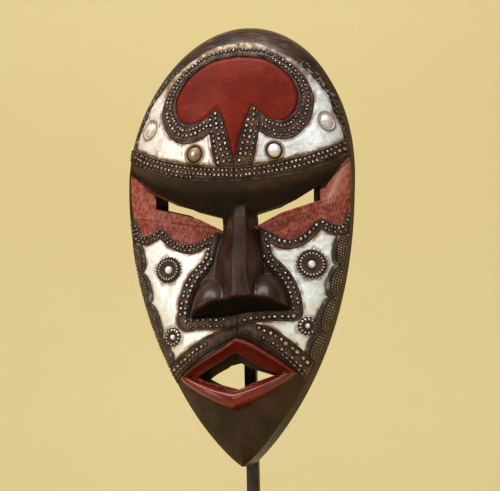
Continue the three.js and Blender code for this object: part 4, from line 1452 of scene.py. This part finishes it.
# Places in the frame, in mm, between which a finish sets in
WOOD_CROWN = (395.0, 405.0)
SHEET_CROWN = (358.0, 386.0)
CRACKED = (300.0, 312.0)
DOWN_CHEEK = (262.0, 240.0)
LOW_RINGS = (262.0, 250.0)
LEFT_HALF = (14.0, -14.0)
RIGHT_HALF = (0.0, 2.0)
# Height and slope of the dotted line under each eye
LEFT_LINE = (259.8, -0.17)
RIGHT_LINE = (259.5, 0.31)


def wood_material():
    m = Shade("carved_wood", Coat_Roughness=0.2, Specular_IOR_Level=0.1)
    grain = m.noise(2.0, 5, 0.6, stretch=(1, 1, 0.1))
    patches = m.noise(24, 3, 0.55)
    brushed_grain = m.noise(3.0, 4, 0.6, stretch=(0.2, 1, 1)).between(0.46, 0.66)
    fine = m.noise(0.9, 3, 0.6)
    wander = m.noise(5, 3, 0.6) - 0.5
    convex = m.attribute("convex")
    # Painted shade on the walls of slits and mouth and under nose and brow
    shadow = m.attribute("shadow").max(m.attribute("wall"))
    behind = m.attribute("behind")
    flank = m.attribute("flank")
    worn = convex.between(0.03, 0.16) * m.noise(12, 3).between(0.4, 0.58)
    sunk = (convex * -1.0).between(0.03, 0.2)
    dark = m.blend(DARK_WOOD, BROWN_WOOD, patches.between(0.3, 0.7))
    dark = m.blend(dark, GRAIN_LINES, grain.between(0.46, 0.7) * 0.5)
    # Painted bounce light on the flanks
    dark = m.blend(dark, FLANK_BOUNCE_LIGHT, flank * 0.8)
    dark = m.blend(dark, WORN_WOOD, worn * 0.7)
    crown = m.axis(2).between(*WOOD_CROWN)
    dark = m.blend(dark, CROWN_WOOD, crown * brushed_grain * 0.5)
    dark = m.blend(dark, m.blend(BACK_PALE, BACK_DARK, grain), behind)
    knots = m.noise(2.3, 2, 0.6).between(0.52, 0.62) * m.attribute("rim_strip")
    dark = m.blend(dark, RIM_STRIP, m.attribute("rim_strip") * 0.7)
    dark = m.blend(dark, RIM_KNOTS, knots * 0.75)
    # Painted shade in concave creases
    dark = m.blend(dark, CREASE_SHADE, sunk * 0.8)
    dark = m.blend(dark, HOLLOW_SHADE, shadow * (1 - behind))
    brushed = m.noise(1.3, 4, 0.65, stretch=(0.16, 1, 1.3)) * 0.75 + m.noise(7, 3) * 0.25
    red = m.blend(RED, PALE_RED, m.noise(20, 2).between(0.3, 0.7))
    red = m.blend(red, RED_STREAKS, brushed.between(0.5, 0.66) * 0.6)
    red = m.blend(red, RED_RUBBED, brushed.between(0.4, 0.33) * 0.5)
    dusty = m.blend(DUSTY_RED, DUSTY_PINK, m.noise(3.2, 4, 0.65).between(0.36, 0.66))
    dusty = m.blend(dusty, DUSTY_SPOTS, fine.between(0.48, 0.66) * 0.6)
    # Painted highlight along the crest of the ridge beside the right slit
    dusty = m.blend(dusty, RIDGE_HIGHLIGHT, m.attribute("eye_ridge") * 0.85)
    # Short carved strokes in slanting rows below a dotted line under the eyes, and a dark line of dots
    across, up = m.axis(0), m.axis(2)
    right = across.between(*RIGHT_HALF)
    left_line, right_line = [high + across * slope for high, slope in (LEFT_LINE, RIGHT_LINE)]
    fan = up - m.blend_value(left_line, right_line, right)
    stroke = (across * 2.9 + up * m.blend_value(1.6, 0.7, right)).math("SINE").between(-0.2, 0.7)
    rows = (fan * 0.62 - 0.5).math("SINE").between(-0.9, -0.5)
    below_line = 1 - fan.between(-2.6, -1.6)
    hatch = stroke * rows * below_line * m.attribute("under_eye").between(0.6, 1.6)
    hatch = hatch * m.noise(9, 2).between(0.3, 0.5)
    dots = (across * 2.6).math("SINE").between(0.0, 0.6) * (1 - fan.math("ABSOLUTE").between(0.4, 0.9))
    dusty = m.blend(dusty, STROKES, (hatch * 0.55).max(dots * 0.7))
    on_heart = (m.attribute("heart") + wander * 0.6).between(-0.1, 0.35)
    on_lips = (m.attribute("lips") + wander * 0.7).between(0.05, 0.6)
    on_eye = (m.attribute("under_eye") + wander).between(-0.1, 0.5)
    # Inner facet of the upper lip, painted darker as painted shade
    lip_facet_shade = m.attribute("shaded_lip_facet")
    chipped = m.noise(1.7, 4, 0.7).between(0.66, 0.72) * 0.6
    colour = m.blend(dark, dusty, on_eye * (1 - chipped) * (1 - shadow))
    colour = m.blend(colour, red, on_heart * (1 - chipped * 0.3))
    # Paler red on convex crests: rubbed paint and a painted highlight
    lip_red = m.blend(red, LIP_RUBBED_AND_SHEEN, convex.between(0.03, 0.16) * 0.5)
    lip_red = m.blend(lip_red, LIP_SHADE_RED, lip_facet_shade * 0.85)
    colour = m.blend(colour, lip_red, on_lips * (1 - chipped * 0.4) * (1 - shadow))
    m.set("Base Color", colour)
    dull = behind.max(shadow).max(on_eye * 0.7).max(flank)
    m.set("Roughness", 0.34 + patches * 0.16 + fine * 0.12 + on_heart * 0.06 + dull * 0.2)
    m.set("Coat Weight", (0.26 + on_lips * 0.34) * (1 - dull.max(lip_facet_shade)) * (1 - on_heart * 0.7))
    m.bump(grain * 0.5 + fine * 0.5, 0.45, 0.25)
    m.bump(m.noise(6, 2, 0.5, stretch=(1, 1, 0.5)), 0.55, 0.7)
    m.bump(1 - hatch.max(dots * on_eye), 0.9, 0.5)
    m.bump(knots, 0.8, 0.6)
    return m.material


def bright_sheet_material():
    m = Shade("bright_sheet")
    edge = m.attribute("edge")
    dents = m.noise(5, 3, 0.55)
    fine = m.noise(0.9, 4, 0.65)
    patches = m.noise(13, 4, 0.6)
    specks = m.noise(1.6, 2, 0.6).between(0.7, 0.74)
    ragged = edge + (dents - 0.5) * 2.2 + (fine - 0.5) * 1.2
    near_edge = 1 - ragged.between(0.5, 2.8)
    dark = m.attribute("dark")
    bead = m.attribute("bead")
    up = m.axis(2)
    left = m.axis(0).between(*LEFT_HALF)
    crown = up.between(*SHEET_CROWN)
    cheek = up.between(*DOWN_CHEEK)
    # The lower left cheek is painted plain white with few clouds or dull patches, a painted highlight
    clouds_off_cheek_highlight = 1 - cheek * left * 0.8
    crown_stain = crown * patches.between(0.16, 0.42)
    stain = (near_edge * patches.between(0.36, 0.6) + specks * 0.8 + crown_stain).clamp()
    metal = m.blend(COOL_METAL, m.blend(WARM_METAL, CHEEK_HIGHLIGHT_WHITE, cheek), left)
    # Clouds: cool grey ones on the right half are painted reflection, warm ones on the left are stains
    clouded = m.noise(7, 4, 0.6, stretch=(0.5, 1, 1.6)).between(0.46, 0.7)
    metal = m.blend(metal, m.blend(COOL_REFLECTION_CLOUD, WARM_CLOUD, left), clouded * 0.6 * clouds_off_cheek_highlight)
    metal = m.blend(metal, DULL_METAL, patches.between(0.5, 0.78) * 0.5 * clouds_off_cheek_highlight)
    cracks = m.noise(3.2, 2, 0.5, stretch=(2.4, 1, 0.16)).between(0.665, 0.685) * left * up.between(*CRACKED)
    tarnish = m.blend(DARK_TARNISH, PALE_TARNISH, (dents * 0.6 + fine * 0.4).between(0.46, 0.6))
    colour = m.blend(metal, m.blend(STAIN, tarnish, crown), stain * 0.92)
    colour = m.blend(colour, CRACKS, cracks)
    ringed = up.between(*LOW_RINGS) * dark.between(0.5, 0.8)
    brown = m.blend(RING_BROWN, RING_TAN, dents.between(0.36, 0.64))
    # Darkest brown where the dark mark is strongest, mostly the sunk ring round a boss's dome: painted shade
    brown = m.blend(brown, RING_GROOVE_SHADE, dark.between(0.84, 0.97))
    brown = m.blend(brown, m.blend(ROSETTE_DARK, ROSETTE_BROWN, fine.between(0.35, 0.7)), ringed)
    colour = m.blend(colour, brown, dark * (1 - bead.between(0.7, 1.0) * 0.8))
    m.set("Base Color", colour)
    m.set("Metallic", 0.36 + dark * bead * 0.4)
    m.set("Roughness", 0.36 + fine * 0.14 + stain * 0.2 + dark * (1 - bead) * 0.2)
    m.bump(dents, 0.6, 0.8)
    m.bump(fine, 0.35, 0.14)
    return m.material


def beaded_material():
    m = Shade("beaded_strip")
    bead = m.attribute("bead")
    sunk = m.attribute("dark")
    rolled = m.attribute("smooth")
    fine = m.noise(0.7, 4, 0.65)
    patches = m.noise(7, 4, 0.6)
    wear = m.noise(4, 3, 0.6)
    rubbed = (bead + (wear - 0.5) * 0.5 + (fine - 0.5) * 0.3).between(0.78, 1.08)
    metal = m.blend(STRIP_DARK, STRIP_BROWN, patches.between(0.32, 0.68))
    metal = m.blend(metal, STRIP_SPOTS, fine.between(0.5, 0.75) * 0.7)
    metal = m.blend(metal, BEAD_FLANK, bead.between(0.25, 0.8) * 0.8)
    metal = m.blend(metal, STRIP_GROOVE, sunk * 0.9)
    metal = m.blend(metal, DARK_ROLL, rolled * 0.8)
    # Patchy painted highlight on the rolled lip of the edge strips
    metal = m.blend(metal, ROLL_HIGHLIGHT, rolled * patches.between(0.52, 0.64) * 0.6)
    tip = m.blend(DULL_TIP, BRIGHT_TIP, wear.between(0.4, 0.6))
    m.set("Base Color", m.blend(metal, tip, rubbed))
    m.set("Metallic", 0.5 + rubbed * 0.45)
    m.set("Roughness", 0.42 - rubbed * 0.16 + fine * 0.14 + sunk * 0.15)
    m.bump(fine, 0.5, 0.2)
    m.bump(m.noise(2.4, 3), 0.5, 0.35)
    return m.material


def steel_material():
    m = Shade("stand_steel")
    patches = m.noise(6, 5, 0.65)
    fine = m.noise(0.9, 4, 0.7)
    rust = (patches * 0.7 + fine * 0.3).between(0.48, 0.6)
    black = m.blend(BLACK_STEEL, GREY_STEEL, m.noise(14).between(0.35, 0.7))
    m.set("Base Color", m.blend(black, RUST, rust * 0.75))
    m.set("Metallic", 0.75 - rust * 0.55)
    m.set("Roughness", 0.42 + rust * 0.3 + fine * 0.08)
    m.bump(patches, 0.5, 0.35)
    m.bump(fine, 0.5, 0.12)
    return m.material


# Studs and stand, modelled in steps as by hand

# A stud's profile from its middle to its foot: shares of its radius and height, with a small dimple on top
STUD_PROFILE = [
    (0, 1.0), (0.16, 0.9), (0.3, 0.99), (0.55, 0.9), (0.8, 0.66), (0.96, 0.36), (1.0, 0.12), (1.0, 0.0),
]
STUD_SIDES = 28


def make_stud(name, node, side, stud, material):
    """A domed stud, square on the face in the middle of its rosette."""
    radius, height = stud["radius"] * MM, stud["height"] * MM
    at_x, at_y = stud["at"]
    x, y = on_face(np.array([side * at_x]), np.array([at_y]))
    normal = facing(x, y)[0]
    ground = np.array([x[0], y[0], depth_at(x, y)[0]]) + normal * GAP
    place = Vector(to_world(ground))
    direction = Vector((normal[0], -normal[2], normal[1]))
    bpy.ops.mesh.primitive_circle_add(vertices=STUD_SIDES, radius=radius, fill_type="NOTHING")
    obj = bpy.context.object
    obj.name = name
    bpy.ops.object.mode_set(mode="EDIT")
    bpy.ops.mesh.select_all(action="SELECT")
    bpy.ops.mesh.edge_face_add()
    level = 0.0
    size = 1.0
    for share, up in STUD_PROFILE[::-1][1:-1]:
        step = (up - level) * height
        bpy.ops.mesh.extrude_region_move(TRANSFORM_OT_translate={"value": (0, 0, step)})
        if share != size:
            centre = (0, 0, up * height)
            factor = share / size
            bpy.ops.transform.resize(value=(factor, factor, 1), center_override=centre)
        level, size = up, share
    bpy.ops.mesh.inset(thickness=radius * 0.1)
    bpy.ops.mesh.select_all(action="SELECT")
    bpy.ops.mesh.normals_make_consistent(inside=False)
    bpy.ops.object.mode_set(mode="OBJECT")
    obj.data.transform(Matrix.Translation(place) @ direction.to_track_quat("Z", "Y").to_matrix().to_4x4())
    smooth(obj.data, 50)
    up_share = ((vertices(obj.data) - np.array(place)) @ np.array(direction)) / height
    set_attribute(obj.data, "edge", np.full(len(obj.data.vertices), 6.0))
    set_attribute(obj.data, "bead", np.clip(up_share * 1.4, 0, 1))
    set_attribute(obj.data, "dark", np.clip(0.6 - up_share * 2, 0, 1))
    finish_piece(obj, node, material)


def make_box(name, node, edge, material):
    """A flat box of the stand, where the solids have it, with its edges rounded."""
    low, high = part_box(node)
    bpy.ops.mesh.primitive_cube_add(size=1)
    obj = bpy.context.object
    obj.name = name
    only(obj)
    bpy.ops.object.mode_set(mode="EDIT")
    bpy.ops.mesh.select_all(action="SELECT")
    bpy.ops.transform.resize(value=tuple(high - low), center_override=(0, 0, 0))
    bpy.ops.transform.translate(value=tuple((low + high) / 2))
    bpy.ops.mesh.bevel(offset=edge * MM, segments=3, affect="EDGES")
    bpy.ops.mesh.subdivide(number_cuts=2)
    bpy.ops.object.mode_set(mode="OBJECT")
    smooth(obj.data, 35)
    finish_piece(obj, node, material)


ROD_SECTIONS = 6
BEND_STEPS = 8
ROD_EDGE = 0.5
FOOT_EDGE = 0.8
CROSSBAR_EDGE = 0.6


def make_rod(material):
    """Square bar bent forward at its top: a square pulled up, turned through the bend and pulled on."""
    low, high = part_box("stand_rod")
    side = high.x - low.x
    bpy.ops.mesh.primitive_plane_add(size=1)
    obj = bpy.context.object
    obj.name = "square_rod"
    bpy.ops.object.mode_set(mode="EDIT")
    bpy.ops.mesh.select_all(action="SELECT")
    bpy.ops.transform.resize(value=(side, side, 1), center_override=(0, 0, 0))
    middle = ((low.x + high.x) / 2, high.y - side / 2, low.z)
    bpy.ops.transform.translate(value=middle)
    straight = high.z - side - low.z
    for _ in range(ROD_SECTIONS):
        bpy.ops.mesh.extrude_region_move(TRANSFORM_OT_translate={"value": (0, 0, straight / ROD_SECTIONS)})
    pivot = (0, high.y - side, high.z - side)
    bpy.ops.mesh.spin(steps=BEND_STEPS, angle=math.radians(90), center=pivot, axis=(1, 0, 0))
    reach = high.y - side - low.y
    bpy.ops.mesh.extrude_region_move(TRANSFORM_OT_translate={"value": (0, -reach, 0)})
    bpy.ops.mesh.select_all(action="SELECT")
    bpy.ops.mesh.remove_doubles(threshold=1e-6)
    bpy.ops.mesh.normals_make_consistent(inside=False)
    bpy.ops.object.mode_set(mode="OBJECT")
    bevel = obj.modifiers.new("edges", "BEVEL")
    bevel.width = ROD_EDGE * MM
    bevel.segments = 2
    bevel.limit_method = "ANGLE"
    bevel.angle_limit = math.radians(50)
    bpy.ops.object.modifier_apply(modifier="edges")
    smooth(obj.data, 35)
    finish_piece(obj, "stand_rod", material)


def make_stand(material):
    make_rod(material)
    make_box("foot_plate", "stand_foot", FOOT_EDGE, material)
    make_box("flat_crossbar", "stand_crossbar", CROSSBAR_EDGE, material)


# Floor, backdrop, lights and camera

# The photograph's viewpoint: yaw and pitch in degrees, roll in radians, shifts and distance in mm.
# The focal length and the picture's width are in photo pixels.
CAMERA = {"yaw": 10.0, "pitch": -7.0, "roll": 0.02186, "tx": -4.766, "ty": -0.620, "distance": 1300.0}
AIM_DEPTH = 30.0
FOCAL = 1710.5
IMAGE_WIDTH = 500.0
SENSOR = 36.0


def make_camera():
    yaw, pitch = math.radians(CAMERA["yaw"]), math.radians(CAMERA["pitch"])
    right = np.array([math.cos(yaw), 0, -math.sin(yaw)])
    forward = np.array([-math.sin(yaw) * math.cos(pitch), -math.sin(pitch), -math.cos(yaw) * math.cos(pitch)])
    up = np.cross(right, forward)
    cos_roll, sin_roll = math.cos(CAMERA["roll"]), math.sin(CAMERA["roll"])
    across = cos_roll * right - sin_roll * up
    above = sin_roll * right + cos_roll * up
    aim = np.array([0, 0, AIM_DEPTH])
    place = aim - CAMERA["distance"] * forward - CAMERA["tx"] * across - CAMERA["ty"] * above

    def turned(v):
        return Vector((v[0], -v[2], v[1]))

    camera = bpy.data.cameras.new("camera")
    camera.sensor_width = SENSOR
    camera.lens = SENSOR * FOCAL / IMAGE_WIDTH
    obj = bpy.data.objects.new("camera", camera)
    axes = Matrix((turned(across), turned(above), -turned(forward))).transposed().to_4x4()
    obj.matrix_world = Matrix.Translation(Vector(to_world(place))) @ axes
    bpy.context.scene.collection.objects.link(obj)
    bpy.context.scene.camera = obj


def area_light(name, place, aim, size, power, colour):
    light = bpy.data.lights.new(name, "AREA")
    light.shape = "RECTANGLE"
    light.size, light.size_y = size
    light.energy = power
    light.color = colour
    obj = bpy.data.objects.new(name, light)
    obj.location = place
    obj.rotation_euler = (Vector(aim) - Vector(place)).to_track_quat("-Z", "Y").to_euler()
    bpy.context.scene.collection.objects.link(obj)


def make_stage():
    """A pale floor that runs up into a pale wall behind, in metres."""
    near, far, high, half_wide = -3.0, 1.9, 3.2, 3.5
    bend = 0.6
    profile = [(near, 0.0), (far - bend, 0.0)]
    for t in steps(0, math.pi / 2, 10)[1:]:
        profile.append((far - bend + bend * math.sin(t), bend - bend * math.cos(t)))
    profile.append((far, high))
    points = [(x, y, z) for y, z in profile for x in (-half_wide, half_wide)]
    faces = [(2 * k, 2 * k + 1, 2 * k + 3, 2 * k + 2) for k in range(len(profile) - 1)]
    obj = new_object("backdrop", np.array(points), faces)
    m = Shade("backdrop", Roughness=0.9, Specular_IOR_Level=0.1)
    m.set("Base Color", m.blend(PALE_WALL, WARM_WALL, m.noise(400)))
    obj.data.materials.append(m.material)


def make_lights():
    """Soft boxes in front and above, one for the wall and a faint glow all round, in metres and watts."""
    world = bpy.data.worlds.new("studio")
    bpy.context.scene.world = world
    world.use_nodes = True
    background = world.node_tree.nodes["Background"]
    background.inputs["Color"].default_value = (1.0, 0.96, 0.9, 1)
    background.inputs["Strength"].default_value = 0.11
    aim = (0, 0, 0.26)
    area_light("left_box", (-0.75, -1.25, 1.0), aim, (0.55, 0.8), 5.2, (1.0, 0.975, 0.95))
    area_light("right_box", (0.85, -1.2, 0.85), aim, (0.45, 0.8), 4.4, (0.91, 0.965, 1.0))
    area_light("top_box", (0.0, -0.3, 1.3), aim, (0.9, 0.4), 1.9, (1.0, 0.98, 0.95))
    area_light("low_box", (-0.85, -1.2, 0.3), aim, (0.5, 0.5), 3.4, (1.0, 0.98, 0.96))
    area_light("wall_box", (-0.5, -0.6, 2.9), (-0.3, 1.7, 0.5), (2.6, 1.0), 82, (1.0, 0.99, 0.97))
    bpy.context.scene.view_settings.view_transform = "Standard"


def main():
    make_camera()
    make_stage()
    make_lights()
    wood = wood_material()
    bright = bright_sheet_material()
    beaded = beaded_material()
    steel = steel_material()
    make_body(wood)
    for side, word in WORDS.items():
        for band in NEIGHBOURS:
            make_band(band, side, beaded)
        make_forehead_sheet(side, bright)
        make_cheek_sheet(side, bright)
        make_edge_strip(side, beaded)
        make_stud(f"stud_{word}", f"rosette_stud_{word}", side, STUD, bright)
        make_stud(f"low_stud_{word}", f"low_rosette_stud_{word}", side, LOW_STUD, bright)
    make_stand(steel)


main()
bpy.context.view_layer.update()
